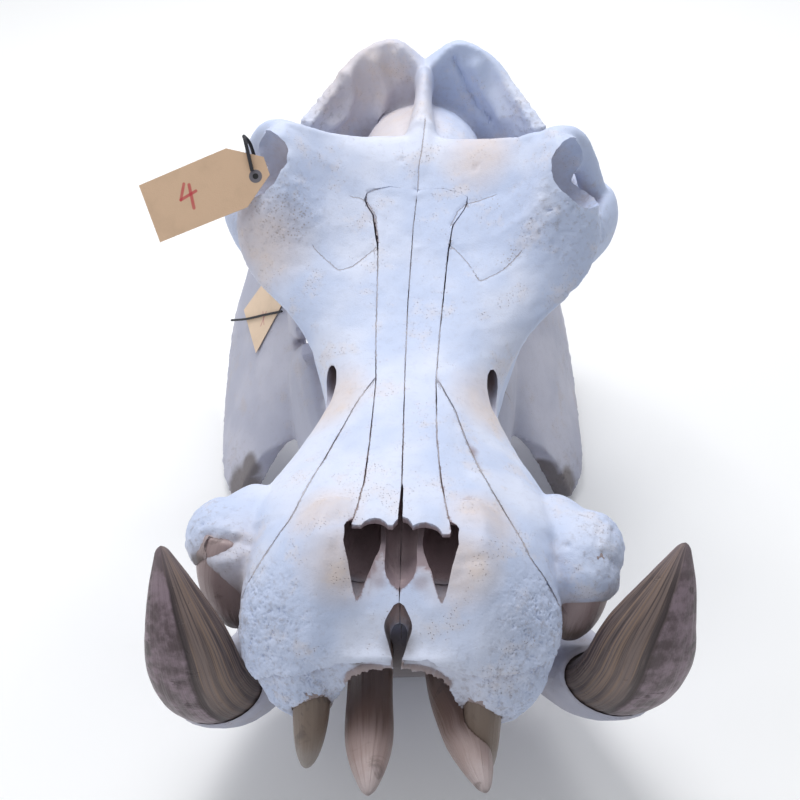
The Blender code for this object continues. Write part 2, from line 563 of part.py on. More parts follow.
def jaw_forms(bm):
    """The lower jaw's bone, roughed out straight."""
    # Broad chin and the two bodies
    add_loft(bm, (
        (9.4, ((0, 13.4), (4, 13.8), (8, 13.6), (10, 12.6), (9, 11.4), (5, 10.9), (0, 10.8))),
        (12, ((0, 14.4), (4.4, 15), (9, 15), (12.6, 12.6), (11.6, 9), (6.4, 7.8), (0, 7.6))),
        (15, ((0, 14.2), (4.6, 15.2), (9.6, 15.8), (13, 12), (12, 6), (6.8, 3.9), (0, 3.6))),
        (18, ((0, 12.8), (4.2, 14.4), (9, 16.4), (12, 12), (11.2, 4.8), (6.4, 1.4), (0, 0.6))),
        (22, ((0, 11), (3.2, 12.4), (7.4, 17), (10, 12.4), (9.6, 5), (5.6, 0.7), (0, -0.4))),
        (26, ((0, 9.4), (2.6, 10.6), (6.4, 16.8), (9, 12), (8.6, 5.4), (5, 2), (0, 1.6))),
        (29, ((0, 8.2), (1.8, 8.6), (4.4, 12), (6.4, 11), (6, 6.6), (3.6, 4), (0, 4))),
    ), blunt=0.1, along=36)
    add_tube(bm, ((5.4, 15, 9, 3.2, 5.6), (6.3, 22, 10.4, 3, 6.8), (7.2, 31, 11.4, 2.8, 6.9), (8.6, 39, 11.8, 2.9, 7),
                  (10.2, 46, 13.4, 2.6, 7.4), (11.4, 51, 16.6, 2, 6.6)), blunt=0.1)
    # Tusk sockets
    add_tube(bm, ((8, 18.5, 8, 3.8, 3.8), (11.5, 15.6, 9, 4.1, 4.1), (14.2, 12.6, 10.8, 4.1, 4.1)), blunt=0.08)
    for sign in (1, -1):
        add_curled(bm, socket_keys(sign > 0), 24, 20, 0.03, (sign,))
    # Hooked plates of the jaw angle
    add_plate(bm, (
        ((12.2, 43.5, 9.6, 1.1), (15, 42.6, 7.6, 1.2), (17, 42, 4.6, 1.3), (18.6, 41.7, 0.6, 1.2)),
        ((11.6, 46, 14, 1), (15.2, 46, 9.6, 0.8), (18.6, 45.6, 5, 0.8), (20.3, 44.9, 1.2, 1)),
        ((11.6, 51, 19, 1), (15.2, 51, 13.4, 0.8), (18.8, 51.4, 7.2, 0.8), (20.9, 51.7, 2.1, 1)),
        ((12.4, 57, 22, 1), (15.6, 57.2, 16.6, 0.8), (19, 58.4, 9.8, 0.8), (20.9, 59.9, 3.8, 1)),
        ((13.6, 62, 24, 1), (16, 63, 19, 0.8), (18.8, 64.6, 12.8, 0.8), (20.1, 66, 8, 1)),
        ((14.4, 65.6, 25.8, 1), (15.6, 67, 21.8, 0.8), (17, 68.2, 17.8, 0.8), (17.9, 68.8, 14.5, 0.9)),
    ), across=36, along=30)
    # Coronoid process, neck and hinge of the jaw
    add_tube(bm, ((11.4, 49, 19, 1, 3), (12.2, 53.4, 24.6, 0.9, 2.6), (12.8, 56.4, 28.4, 0.7, 1.6),
                  (12.9, 58.6, 30, 0.5, 0.8)), blunt=0.1)
    add_plate(bm, (
        ((11.8, 50, 18, 0.9), (12.4, 56, 20, 0.9), (13.6, 62, 22, 0.9)),
        ((12, 51, 22, 0.8), (12.8, 56.6, 24, 0.8), (14.2, 64.6, 25.6, 1)),
    ), across=16, along=14)
    add_blob(bm, (14.6, 64.4, 26.3), (2.8, 1.6, 1.5), turn=(0, 8, 8))


def tusk_keys(left, grow=0.0):
    """Middle line, half thickness and half width of a lower tusk. The left one leans out and is broader."""
    lean, broad = (1.0, 1.1) if left else (0.0, 0.5)
    return [(x + lean * out - broad * full, y, z - lean * low, thick + grow, wide + broad * full + grow)
            for x, y, z, out, low, full, thick, wide in (
                (11.5, 16.5, 8, 0, 0, 0, 2.6, 2.9), (14.3, 12.2, 9.8, 0, 0, 0.2, 2.8, 3.3),
                (16.4, 8.4, 11.8, 0.2, 0, 0.5, 2.8, 3.7), (18, 5.8, 14.8, 0.5, 0, 0.8, 2.7, 3.9),
                (19.1, 4.9, 18.6, 0.8, 0.1, 1, 2.5, 3.7), (19.7, 5.5, 23, 1.1, 0.4, 1, 2.1, 3.1),
                (20.3, 7.2, 27, 1.4, 0.6, 0.5, 1.3, 1.9), (20.8, 9, 30.4, 1.5, 0.8, 0, 0.25, 0.4))]


def socket_keys(left):
    """The bone around the root of a lower tusk, which thins to a rim."""
    return [(x, y, z, thick + wall, wide + wall) for (x, y, z, thick, wide), wall in
            zip(tusk_keys(left), (1.3, 1.1, 0.8, 0.4))]


def lower_incisor_keys(outward, grow=0.0):
    """Middle line and half sizes of a lower first incisor that leans outward at its tip."""
    return [(x + outward * lean, y, z, high + grow, wide + grow) for x, y, z, lean, high, wide in (
        (3.7, 14, 12.4, -1.1, 1.9, 1.9), (4, 4, 16.4, -1, 1.9, 2), (4.1, -1.6, 17.8, -0.2, 1.7, 2),
        (4.15, -4.6, 18.6, 0.4, 1.2, 1.4), (4.2, -7.4, 19.4, 0.8, 0.35, 0.4))]


def side_incisor_keys(grow=0.0):
    """Middle line and half sizes of a lower second incisor, which is short and worn."""
    return [(7.6, 14, 11.4, 1.1 + grow, 1.1 + grow), (8, 7, 13.6, 1.1 + grow, 1.1 + grow),
            (8.2, 3.8, 14.7, 0.7 + grow, 0.8 + grow)]


def upper_incisor_keys(grow=0.0):
    """Middle line and half sizes of an upper incisor."""
    return [(7.1, 2.6, 21.4, 1.8 + grow, 1.6 + grow), (7.1, -0.5, 18.7, 1.8 + grow, 1.5 + grow),
            (7.3, -2, 16.2, 1.2 + grow, 1.0 + grow), (7.5, -2.6, 14.7, 0.3 + grow, 0.3 + grow)]


def upper_canine_keys(grow=0.0):
    """Middle line and half sizes of an upper canine."""
    return [(15, 12.6, 27, 2.2 + grow, 2.2 + grow), (15.4, 11.2, 24.6, 2.5 + grow, 2.5 + grow),
            (15.2, 10.8, 21, 2.4 + grow, 2.4 + grow), (14.8, 10.8, 17.8, 1.6 + grow, 1.6 + grow),
            (14.7, 10.8, 16.6, 0.8 + grow, 0.8 + grow)]


def place_jaw(body):
    """Turn a jaw piece about the neck end and shift it, as it lies under the cranium."""
    pivot = Vector((JAW_PIVOT[0], JAW_PIVOT[1], 0.0)) * CM
    shift = Vector((JAW_SHIFT[0], JAW_SHIFT[1], 0.0)) * CM
    turn = Matrix.Rotation(math.radians(JAW_YAW), 4, "Z")
    body.data.transform(Matrix.Translation(pivot + shift) @ turn @ Matrix.Translation(-pivot))


def make_jaw():
    """The lower jaw with its cheek teeth, tusks and incisors."""
    parts = {}
    bm = bmesh.new()
    jaw_forms(bm)
    add_cheek_teeth(bm, LOWER_ROW_HALF, OCCLUSAL_Z + 0.4, 16.0)
    jaw = new_object("mandible", bm)
    fuse(jaw, VOXEL, 5)
    thin_out(jaw, JAW_FACES)
    cut(jaw, lambda bm: add_box(bm, (-30, 18, OCCLUSAL_Z), (30, 48, 40)))
    cut(jaw, lambda bm: add_box(bm, (-30, -10, -8), (30, 80, 0)))
    for side, sign in (("left", 1), ("right", -1)):
        leaning = 1.0 if side == "left" else 0.0
        steps = (
            ("lower_tusk_", lambda grow: tusk_keys(side == "left", grow), 16, 24, 0.02),
            ("lower_incisor_", lambda grow: lower_incisor_keys(leaning, grow), 16, 14, 0.06),
            ("side_incisor_", side_incisor_keys, 12, 10, 0.1),
        )
        for name, keys, around, along, blunt in steps:
            bm = bmesh.new()
            add_curled(bm, keys(0.0), around, along, blunt, (sign,))
            tooth = new_object(name + side, bm)
            finish(tooth, "tusk" if name == "lower_tusk_" else "incisor")
            cut(jaw, lambda bm: add_curled(bm, keys(GAP), around, along, blunt, (sign,)))
            parts[tooth.name] = tooth
    keep_largest(jaw)
    finish(jaw, "jaw_bone")
    parts["mandible"] = jaw
    for body in parts.values():
        place_jaw(body)
    return parts


def hollow_muzzle(parts):
    """Room under each front lobe for the lower incisor that passes it."""
    for side, sign in (("left", 1), ("right", -1)):
        bm = bmesh.new()
        add_curled(bm, lower_incisor_keys(1.0 if side == "left" else 0.0, 3 * GAP), 16, 14, 0.06, (sign,))
        tool = new_object("tool", bm)
        place_jaw(tool)
        boolean(parts["premaxilla_" + side], tool, "DIFFERENCE")
        keep_largest(parts["premaxilla_" + side])
        bpy.data.objects.remove(tool)


def wear_canine(tooth, left, sign):
    """The facet that a lower tusk grinds into the upper canine."""
    bm = bmesh.new()
    add_curled(bm, tusk_keys(left, 3 * GAP), 16, 24, 0.02, (sign,))
    tool = new_object("tool", bm)
    place_jaw(tool)
    boolean(tooth, tool, "DIFFERENCE")
    bpy.data.objects.remove(tool)
    keep_largest(tooth)


def add_upper_teeth(parts):
    """Upper incisors and canines, each in a socket cut to fit, and the wear they leave below."""
    for side, sign in (("left", 1), ("right", -1)):
        for name, keys, homes in (("upper_incisor_", upper_incisor_keys, ("premaxilla_", "lower_incisor_")),
                                  ("upper_canine_", upper_canine_keys, ("cranium",))):
            bm = bmesh.new()
            add_curled(bm, keys(0.0), 14, 12, 0.08, (sign,))
            tooth = new_object(name + side, bm)
            finish(tooth, "incisor")
            parts[tooth.name] = tooth
            if name == "upper_canine_":
                wear_canine(tooth, side == "left", sign)
            for home in homes:
                holder = parts[home if home == "cranium" else home + side]
                cut(holder, lambda bm: add_curled(bm, keys(GAP), 14, 12, 0.08, (sign,)))
                keep_largest(holder)


def card_point(corners, s, t, bend=0.0):
    """A point on a card, s along it and t up it from 0 to 1, and the way out of its face."""
    a, b, c, d = (Vector(corner) for corner in corners)
    where = (a * (1 - s) + b * s) * (1 - t) + (d * (1 - s) + c * s) * t
    out = (b - a).cross(d - a).normalized()
    return where - out * bend * s**3, out


def add_card(bm, corners, clip, bend):
    """A paper tag between four corners, bent back and with clipped corners at its far end."""
    made = bmesh.ops.create_grid(bm, x_segments=12, y_segments=4, size=1.0)["verts"]
    raised = bmesh.ops.extrude_face_region(bm, geom=list(bm.faces))
    tops = [part for part in raised["geom"] if isinstance(part, bmesh.types.BMVert)]
    for verts, level in ((made, -0.5), (tops, 0.5)):
        for vert in verts:
            s = (vert.co.x + 1) / 2
            narrow = 1.0 - 0.7 * max(0.0, s - (1 - clip)) / max(clip, 1e-6)
            where, out = card_point(corners, s, 0.5 + vert.co.y / 2 * narrow, bend)
            vert.co = (where + out * level * CARD_THICK) * CM
    bmesh.ops.triangulate(bm, faces=bm.faces)
    face_out(bm, bm.verts)


def add_string(name, points, width, steps):
    """A string as a curve with a round bevel and filled ends."""
    route = smooth_line(points)(np.linspace(0, 1, steps))[0] * CM
    curve = bpy.data.curves.new(name, "CURVE")
    curve.dimensions = "3D"
    curve.bevel_depth = width / 2 * CM
    curve.bevel_resolution = 2
    curve.use_fill_caps = True
    spline = curve.splines.new("POLY")
    spline.points.add(steps - 1)
    for point, (x, y, z) in zip(spline.points, route):
        point.co = (x, y, z, 1.0)
    body = bpy.data.objects.new(name, curve)
    bpy.context.collection.objects.link(body)
    finish(body, "string")
    return body


def make_tags():
    """The two paper tags and their strings."""
    parts = {}
    for name, corners, clip, bend, kind in (("tag_1", TAG_1, 0.25, 0.4, "card"),
                                            ("tag_2", TAG_2, 0.0, 0.0, "cream_card")):
        bm = bmesh.new()
        add_card(bm, corners, clip, bend)
        parts[name] = new_object(name, bm)
        finish(parts[name], kind)
    route = [tuple(where) for s, t in STRING_1_SPOTS for where, out in [card_point(TAG_1, s, t)]]
    parts["tag_1_string"] = add_string("tag_1_string", route + list(STRING_1_END), STRING_1, 12)
    parts["tag_2_string"] = add_string("tag_2_string", STRING_2_ROUTE, STRING_2, 40)
    return parts


def stand_on_origin(skull, others):
    """Move everything so that the middle of the skull's box is above the origin."""
    corners = [body.matrix_world @ Vector(corner) for body in skull for corner in body.bound_box]
    low = Vector([min(c[i] for c in corners) for i in range(3)])
    high = Vector([max(c[i] for c in corners) for i in range(3)])
    shift = Vector((-(low.x + high.x) / 2, -(low.y + high.y) / 2, -low.z))
    for body in list(skull) + list(others):
        body.data.transform(Matrix.Translation(shift))
    print("moved by", [round(value, 5) for value in shift], "size", [round(v, 4) for v in high - low])


def main():
    for old in list(bpy.data.objects):
        bpy.data.objects.remove(old)
    parts = make_cranium()
    parts.update(make_jaw())
    hollow_muzzle(parts)
    add_upper_teeth(parts)
    tags = make_tags()
    bpy.context.view_layer.update()
    stand_on_origin(parts.values(), tags.values())
    for name, body in parts.items():
        print(name, len(body.data.polygons), "triangles")


main()
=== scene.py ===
# %% [markdown]
# # A hippopotamus skull on a museum floor
# The real thing is a life-size skull, about 78 cm long over its lower front teeth, seen from
# in front and above. It stands on its lower jaw, with its mouth closed, and two paper tags lie on it.
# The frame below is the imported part: every piece made here takes the place of one of its nodes.

# %% Frame and measures
import math

import bmesh
import bpy
import numpy as np
from mathutils import Matrix, Vector, noise
from mathutils.bvhtree import BVHTree


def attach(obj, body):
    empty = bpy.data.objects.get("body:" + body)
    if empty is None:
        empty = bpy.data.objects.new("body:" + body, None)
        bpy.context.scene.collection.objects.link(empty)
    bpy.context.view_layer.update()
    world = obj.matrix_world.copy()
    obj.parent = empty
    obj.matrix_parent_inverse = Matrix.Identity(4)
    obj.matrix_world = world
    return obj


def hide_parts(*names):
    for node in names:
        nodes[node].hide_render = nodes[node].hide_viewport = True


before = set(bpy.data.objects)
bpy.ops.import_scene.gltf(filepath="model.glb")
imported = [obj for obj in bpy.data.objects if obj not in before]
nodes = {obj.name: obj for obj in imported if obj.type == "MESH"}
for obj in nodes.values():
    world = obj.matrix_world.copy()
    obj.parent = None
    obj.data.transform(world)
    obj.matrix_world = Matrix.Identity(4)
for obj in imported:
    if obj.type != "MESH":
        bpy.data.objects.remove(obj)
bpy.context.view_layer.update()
CM = 0.01
# The bones are measured in centimetres from the cranium's middle plane, the front of its muzzle
# and the floor. This shift moves them to where the part stands.
SHIFT = Vector((-0.0052, -0.31309, 0.0))

# %% [markdown]
# The photograph looks down on the muzzle from about 42 degrees. A camera is easiest to place by
# what it looks at, how far it stands off and at which turn and tilt, since the lens follows from
# how large the skull then shows. A long lens, well back, keeps the real one's mild perspective.

# %% Camera
LOOK_AT = Vector((-1.08, 29.92, 27.0)) * CM + SHIFT
STAND_OFF = 1.2
TURN, TILT = math.radians(2.57), math.radians(42)
away = Vector((math.sin(TURN) * math.cos(TILT), -math.cos(TURN) * math.cos(TILT), math.sin(TILT)))
lens = bpy.data.cameras.new("photo_camera")
lens.sensor_width = 36.0
lens.lens = 56.25
camera = bpy.data.objects.new("photo_camera", lens)
bpy.context.scene.collection.objects.link(camera)
camera.location = LOOK_AT + away * STAND_OFF
camera.rotation_euler = (-away).to_track_quat("-Z", "Y").to_euler()
bpy.context.scene.camera = camera
print("camera at", [round(value, 3) for value in camera.location])

# %% [markdown]
# A museum shot is lit by broad soft boxes on a white sweep. One large lamp overhead, a paler one
# from the viewer's left and a weak one from behind give soft shade in the hollows without hard
# shadows, and a white world fills what they leave.

# %% Floor and light
def add_lamp(name, where, aim, size, power):
    """A square soft box at a point, turned to another."""
    light = bpy.data.lights.new(name, "AREA")
    light.size = size
    light.energy = power
    lamp = bpy.data.objects.new(name, light)
    bpy.context.scene.collection.objects.link(lamp)
    lamp.location = where
    lamp.rotation_euler = (Vector(aim) - Vector(where)).to_track_quat("-Z", "Y").to_euler()


add_lamp("soft_box_top", (-0.4, 0.8, 2.3), (0, 0, 0.2), 1.2, 32)
add_lamp("soft_box_left", (-1.9, -0.9, 1.5), (0, 0, 0.2), 1.2, 9)
add_lamp("soft_box_back", (0.9, 1.7, 2.1), (0, 0.1, 0.4), 0.9, 14)
world = bpy.data.worlds.new("white_room")
bpy.context.scene.world = world
world.use_nodes = True
room = world.node_tree.nodes["Background"]
room.inputs["Color"].default_value = (0.93, 0.96, 1.0, 1.0)
room.inputs["Strength"].default_value = 0.46
bpy.context.scene.view_settings.view_transform = "Standard"

FLOOR_HALF = 6.0
FLOOR_DROP = 0.0004
sweep = bmesh.new()
bmesh.ops.create_grid(sweep, x_segments=24, y_segments=24, size=FLOOR_HALF)
floor_mesh = bpy.data.meshes.new("floor")
sweep.to_mesh(floor_mesh)
sweep.free()
floor = bpy.data.objects.new("floor", floor_mesh)
bpy.context.scene.collection.objects.link(floor)
floor.location.z = -FLOOR_DROP
pale = bpy.data.materials.new("pale_floor")
pale.use_nodes = True
paint = pale.node_tree.nodes["Principled BSDF"]
paint.inputs["Base Color"].default_value = (0.97, 0.97, 0.97, 1.0)
paint.inputs["Roughness"].default_value = 0.9
floor_mesh.materials.append(pale)
print("floor", 2 * FLOOR_HALF, "m wide, lamps", len(bpy.data.lights))

# %% [markdown]
# Each tag hangs on a black cord. A cord is a curve with a round bevel: its centreline is what its
# real length is measured on, and it comes before the bones so that its fit in the view is known.

# %% Smooth lines
def smooth_line(keys):
    """A function that reads a smooth line through the keys, and its direction, at 0 to 1."""
    keys = np.array(keys, float)
    steps = np.linalg.norm(np.diff(keys[:, :3], axis=0), axis=1) ** 0.5
    knots = np.concatenate([[0.0], np.cumsum(steps)]) / steps.sum()
    slopes = np.gradient(keys, knots, axis=0)

    def read(t):
        t = np.clip(np.asarray(t, float), 0.0, 1.0)
        piece = np.clip(np.searchsorted(knots, t, side="right") - 1, 0, len(knots) - 2)
        width = (knots[piece + 1] - knots[piece])[..., None]
        u = (t - knots[piece])[..., None] / width
        start, end = keys[piece], keys[piece + 1]
        leave, arrive = slopes[piece] * width, slopes[piece + 1] * width
        value = ((2 * u**3 - 3 * u**2 + 1) * start + (u**3 - 2 * u**2 + u) * leave
                 + (3 * u**2 - 2 * u**3) * end + (u**3 - u**2) * arrive)
        way = ((6 * u**2 - 6 * u) * (start - end) + (3 * u**2 - 4 * u + 1) * leave
               + (3 * u**2 - 2 * u) * arrive)
        return value, way
    return read


# %% [markdown]
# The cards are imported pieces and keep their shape, so only their corners are needed here: they say
# where the first cord passes through its card. The routes below are the part's own, point by point.

# %% Tag corners and cord routes
TAG_1 = ((-25.43, 42.2, 36.0), (-13.78, 44.1, 40.6), (-15.98, 47.6, 45.1), (-27.65, 45.7, 40.3))
TAG_2 = ((-18.87, 51.9, 13.88), (-15.3, 53.06, 20.73), (-18.35, 58.38, 19.35), (-21.13, 58.68, 14.87))
# The first cord's places on its card, along it and up it, and then its way into the eye socket
STRING_1_SPOTS = ((0.885, 0.5), (0.9, 0.75), (0.915, 1.0))
STRING_1_END = ((-17.3, 48.9, 44.2), (-17.0, 50.0, 42.8), (-16.7, 50.3, 41.1))
STRING_1 = 0.36
STRING_2_ROUTE = ((-22.9, 59.3, 12.75), (-20.63, 56.88, 14.93), (-17.96, 54.33, 17.63),
                  (-15.45, 51.9, 20.15))
STRING_2 = 0.28


def card_point(corners, s, t):
    """A point on a card, s along it and t up it, from 0 to 1."""
    a, b, c, d = (Vector(corner) for corner in corners)
    return (a * (1 - s) + b * s) * (1 - t) + (d * (1 - s) + c * s) * t


def add_string(name, points, width, steps):
    """A cord as a curve with a round bevel and filled ends, with its length in metres."""
    route = smooth_line(points)(np.linspace(0, 1, steps))[0] * CM + np.array(SHIFT)
    curve = bpy.data.curves.new(name, "CURVE")
    curve.dimensions = "3D"
    curve.bevel_depth = width / 2 * CM
    curve.bevel_resolution = 4
    curve.use_fill_caps = True
    spline = curve.splines.new("POLY")
    spline.points.add(steps - 1)
    for point, (x, y, z) in zip(spline.points, route):
        point.co = (x, y, z, 1.0)
    body = bpy.data.objects.new(name, curve)
    bpy.context.scene.collection.objects.link(body)
    length = float(np.linalg.norm(np.diff(route, axis=0), axis=1).sum())
    return body, [float(value) for value in route[0]], length


route_1 = [tuple(card_point(TAG_1, s, t)) for s, t in STRING_1_SPOTS] + list(STRING_1_END)
cord_1, cord_1_exit, cord_1_length = add_string("black_cord_1", route_1, STRING_1, 24)
cord_2, cord_2_exit, cord_2_length = add_string("black_cord_2", STRING_2_ROUTE, STRING_2, 40)
print("cords", round(cord_1_length, 4), round(cord_2_length, 4))

# %% [markdown]
# A bone has no straight line or flat face to start from. It could be sculpted by hand or traced
# from scans, but here every swelling is a ball whose points are pulled along a smooth line, so a
# few named sizes give a tube, a blob or a lofted block. Balls stay closed, whatever their shape.

# %% Balls pulled into shape
def unit(vectors):
    """Each vector at length one."""
    return vectors / np.maximum(np.linalg.norm(vectors, axis=-1, keepdims=True), 1e-9)


def rounded_end(t, blunt):
    """How far a tube has swollen to its full size near either end."""
    near = np.clip(np.minimum(t, 1.0 - t) / blunt, 0.0, 1.0)
    return np.sqrt(np.clip(1.0 - (1.0 - near) ** 2, 0.0, 1.0))


def face_out(bm, verts):
    """Turn the faces on these points outward, once the points have been moved."""
    faces = list({face for vert in verts for face in vert.link_faces})
    bm.normal_update()
    bmesh.ops.recalc_face_normals(bm, faces=faces)


def pull_ball(bm, place, around, along, signs, marks=False):
    """Add a ball whose points are moved by place(angle, height), once for each side's sign."""
    names = ("along", "across", "side") if marks else ()
    layers = [bm.verts.layers.float.new(name) for name in names]
    for sign in signs:
        verts = bmesh.ops.create_uvsphere(bm, u_segments=around, v_segments=along, radius=1.0)["verts"]
        co = np.array([v.co for v in verts])
        angle = np.arctan2(co[:, 1], co[:, 0])
        height = np.arccos(np.clip(co[:, 2], -1.0, 1.0)) / math.pi
        placed = place(angle, height) * CM
        placed[:, 0] *= sign
        for vert, where in zip(verts, placed):
            vert.co = where
        for layer, values in zip(layers, (height, np.sin(angle), np.cos(angle))):
            for vert, value in zip(verts, values):
                vert[layer] = value
        face_out(bm, verts)


def add_tube(bm, keys, around=20, along=30, blunt=0.12, signs=(1, -1), square=1.0):
    """A tube along keys of (x, y, z, half width, half height)."""
    read = smooth_line(keys)

    def place(angle, t):
        value, way = read(t)
        way = unit(way[:, :3])
        side = unit(np.cross(way, (0.0, 0.0, 1.0)) + np.array((1e-6, 0.0, 0.0)))
        rise = np.cross(side, way)
        swell = rounded_end(t, blunt)[:, None]
        c, s = np.cos(angle), np.sin(angle)
        c = (np.sign(c) * np.abs(c) ** square)[:, None]
        s = (np.sign(s) * np.abs(s) ** square)[:, None]
        return value[:, :3] + swell * (side * c * value[:, 3:4] + rise * s * value[:, 4:5])
    pull_ball(bm, place, around, along, signs)


def add_curled(bm, keys, around=18, along=30, blunt=0.02, signs=(1, -1), relief=None):
    """A tooth whose section turns with its curl: keys of (x, y, z, half thickness, half width)."""
    read = smooth_line(keys)

    def place(angle, t):
        value, way = read(t)
        way = unit(way[:, :3])
        across = unit(np.cross(way, np.cross((0.0, 1.0, 0.0), way)))
        inward = np.cross(across, way)
        swell = rounded_end(t, blunt)[:, None]
        if relief:
            value[:, 3:5] += relief(np.sin(angle), t)[:, None]
        return value[:, :3] + swell * (across * np.cos(angle)[:, None] * value[:, 3:4]
                                       + inward * np.sin(angle)[:, None] * value[:, 4:5])
    pull_ball(bm, place, around, along, signs, marks=relief is not None)


def add_blob(bm, centre, radii, turn=(0.0, 0.0, 0.0), signs=(1, -1), around=24):
    """An ellipsoid, turned by degrees about X, Y and Z."""
    spin = Matrix.Rotation(math.radians(turn[2]), 3, "Z")
    spin = spin @ Matrix.Rotation(math.radians(turn[1]), 3, "Y")
    spin = np.array(spin @ Matrix.Rotation(math.radians(turn[0]), 3, "X"))

    def place(angle, t):
        flat = np.sin(t * math.pi)
        ball = np.stack([flat * np.cos(angle), flat * np.sin(angle), np.cos(t * math.pi)], 1)
        return (ball * radii) @ spin.T + centre
    pull_ball(bm, place, around, around // 2, signs)

# %% [markdown]
# Thin plates, such as the neck shield and the hooked angles of the jaw, are bent grids with a
# thickness. The muzzle and the face are lofts: outlines set one behind another, with a smooth
# skin through them.

# %% Plates and lofts
def add_plate(bm, rows, across=30, along=24, signs=(1, -1)):
    """A curved plate through rows of (x, y, z, half thickness)."""
    lines = np.stack([smooth_line(row)(np.linspace(0, 1, across))[0] for row in rows])
    sheet = np.stack([smooth_line(lines[:, i])(np.linspace(0, 1, along))[0] for i in range(across)])
    middle, thick = sheet[..., :3], sheet[..., 3:4]
    normal = unit(np.cross(np.gradient(middle, axis=0), np.gradient(middle, axis=1)))
    for sign in signs:
        made = bmesh.ops.create_grid(bm, x_segments=across - 1, y_segments=along - 1, size=1.0)["verts"]
        raised = bmesh.ops.extrude_face_region(bm, geom=list({f for v in made for f in v.link_faces}))
        tops = [part for part in raised["geom"] if isinstance(part, bmesh.types.BMVert)]
        for verts, face_side in ((made, -1.0), (tops, 1.0)):
            for vert in verts:
                i = round((vert.co.x + 1) / 2 * (across - 1))
                j = round((vert.co.y + 1) / 2 * (along - 1))
                x, y, z = (middle[i, j] + face_side * normal[i, j] * thick[i, j]) * CM
                vert.co = (sign * x, y, z)
        face_out(bm, made + tops)


def add_loft(bm, stations, half_points=26, along=44, blunt=0.04):
    """A solid through stations of (y, half outline from the top middle to the bottom middle)."""
    rings = []
    for y, outline in stations:
        half = smooth_line([(x, 0.0, z) for x, z in outline])(np.linspace(0, 1, half_points))[0]
        half = half[:, (0, 2)]
        half[0, 0] = half[-1, 0] = 0.0
        ring = np.concatenate([half, half[-2:0:-1] * (-1, 1)])
        rings.append(np.column_stack([ring[:, 0], np.full(len(ring), y), ring[:, 1]]))
    rings = np.array(rings)
    around = rings.shape[1]
    reads = [smooth_line(rings[:, i]) for i in range(around)]
    middles = smooth_line(rings.mean(axis=1))

    def place(angle, t):
        index = np.round(angle / (2 * math.pi) * around).astype(int) % around
        skin = np.array([reads[i](h)[0] for i, h in zip(index, t)])
        core = middles(t)[0]
        return core + (skin - core) * rounded_end(t, blunt)[:, None]
    pull_ball(bm, place, around, along, (1,))


def read_keys(keys):
    """A function of y through (y, value) keys."""
    places, values = zip(*keys)
    return lambda y: float(np.interp(y, places, values))


SKY_Z = 60.0


def add_prism(bm, places, left, right, under, grow=0.0, across=4):
    """A block open to the sky through places along y; left, right and under are read at each y."""
    def spread(read, y):
        slope = (read(y + 0.05) - read(y - 0.05)) / 0.1
        return grow * math.sqrt(1.0 + slope * slope)

    along = len(places) - 1
    made = bmesh.ops.create_grid(bm, x_segments=across, y_segments=along, size=1.0)["verts"]
    raised = bmesh.ops.extrude_face_region(bm, geom=list(bm.faces))
    tops = [part for part in raised["geom"] if isinstance(part, bmesh.types.BMVert)]
    for verts, top in ((made, False), (tops, True)):
        for vert in verts:
            y = places[round((vert.co.y + 1) / 2 * along)]
            low = left(y) - spread(left, y)
            high = right(y) + spread(right, y)
            x = low + (high - low) * (vert.co.x + 1) / 2
            z = SKY_Z if top else under(y) - spread(under, y)
            vert.co = Vector((x, y, z)) * CM
    bmesh.ops.triangulate(bm, faces=bm.faces)
    face_out(bm, bm.verts)


def add_box(bm, low, high):
    """A box between two corners."""
    low, high = Vector(low), Vector(high)
    box = bmesh.ops.create_cube(bm, size=1.0)["verts"]
    bmesh.ops.scale(bm, verts=box, vec=(high - low) * CM)
    bmesh.ops.translate(bm, verts=box, vec=(high + low) * 0.5 * CM)

# %% [markdown]
# The roughed-out balls still pass through each other. A voxel remesh melts them into one skin,
# as a sculptor blends clay, and a little smoothing takes off its steps. Booleans then cut what
# is hollow, which keeps every bone one closed body.

# %% Fusing and cutting
# Edge of a voxel in centimetres, and how often the melted skin is smoothed
VOXEL = 0.28
SMOOTH_ROUNDS = 6


def new_object(name, bm):
    """A mesh object from a bmesh."""
    mesh = bpy.data.meshes.new(name)
    bm.to_mesh(mesh)
    bm.free()
    body = bpy.data.objects.new(name, mesh)
    bpy.context.collection.objects.link(body)
    return body


def copy_of(body, name):
    """A second object with a mesh of its own."""
    twin = bpy.data.objects.new(name, body.data.copy())
    bpy.context.collection.objects.link(twin)
    return twin


def apply_modifiers(body):
    """Bake an object's modifiers into its mesh."""
    depsgraph = bpy.context.evaluated_depsgraph_get()
    mesh = bpy.data.meshes.new_from_object(body.evaluated_get(depsgraph))
    body.modifiers.clear()
    body.data = mesh


def fuse(body):
    """Melt an object's overlapping pieces into one skin and soften it."""
    remesh = body.modifiers.new("melt", "REMESH")
    remesh.mode = "VOXEL"
    remesh.voxel_size = VOXEL * CM
    soften = body.modifiers.new("soften", "SMOOTH")
    soften.factor = 0.5
    soften.iterations = SMOOTH_ROUNDS
    apply_modifiers(body)


def boolean(body, other, operation):
    """Cut away another object, or keep the space shared with it."""
    step = body.modifiers.new("cut", "BOOLEAN")
    step.operation = operation
    step.object = other
    step.solver = "MANIFOLD"
    apply_modifiers(body)


def cut(body, fill):
    """Cut away a tool, which fill(bm) shapes."""
    bm = bmesh.new()
    fill(bm)
    tool = new_object("tool", bm)
    boolean(body, tool, "DIFFERENCE")
    bpy.data.objects.remove(tool)


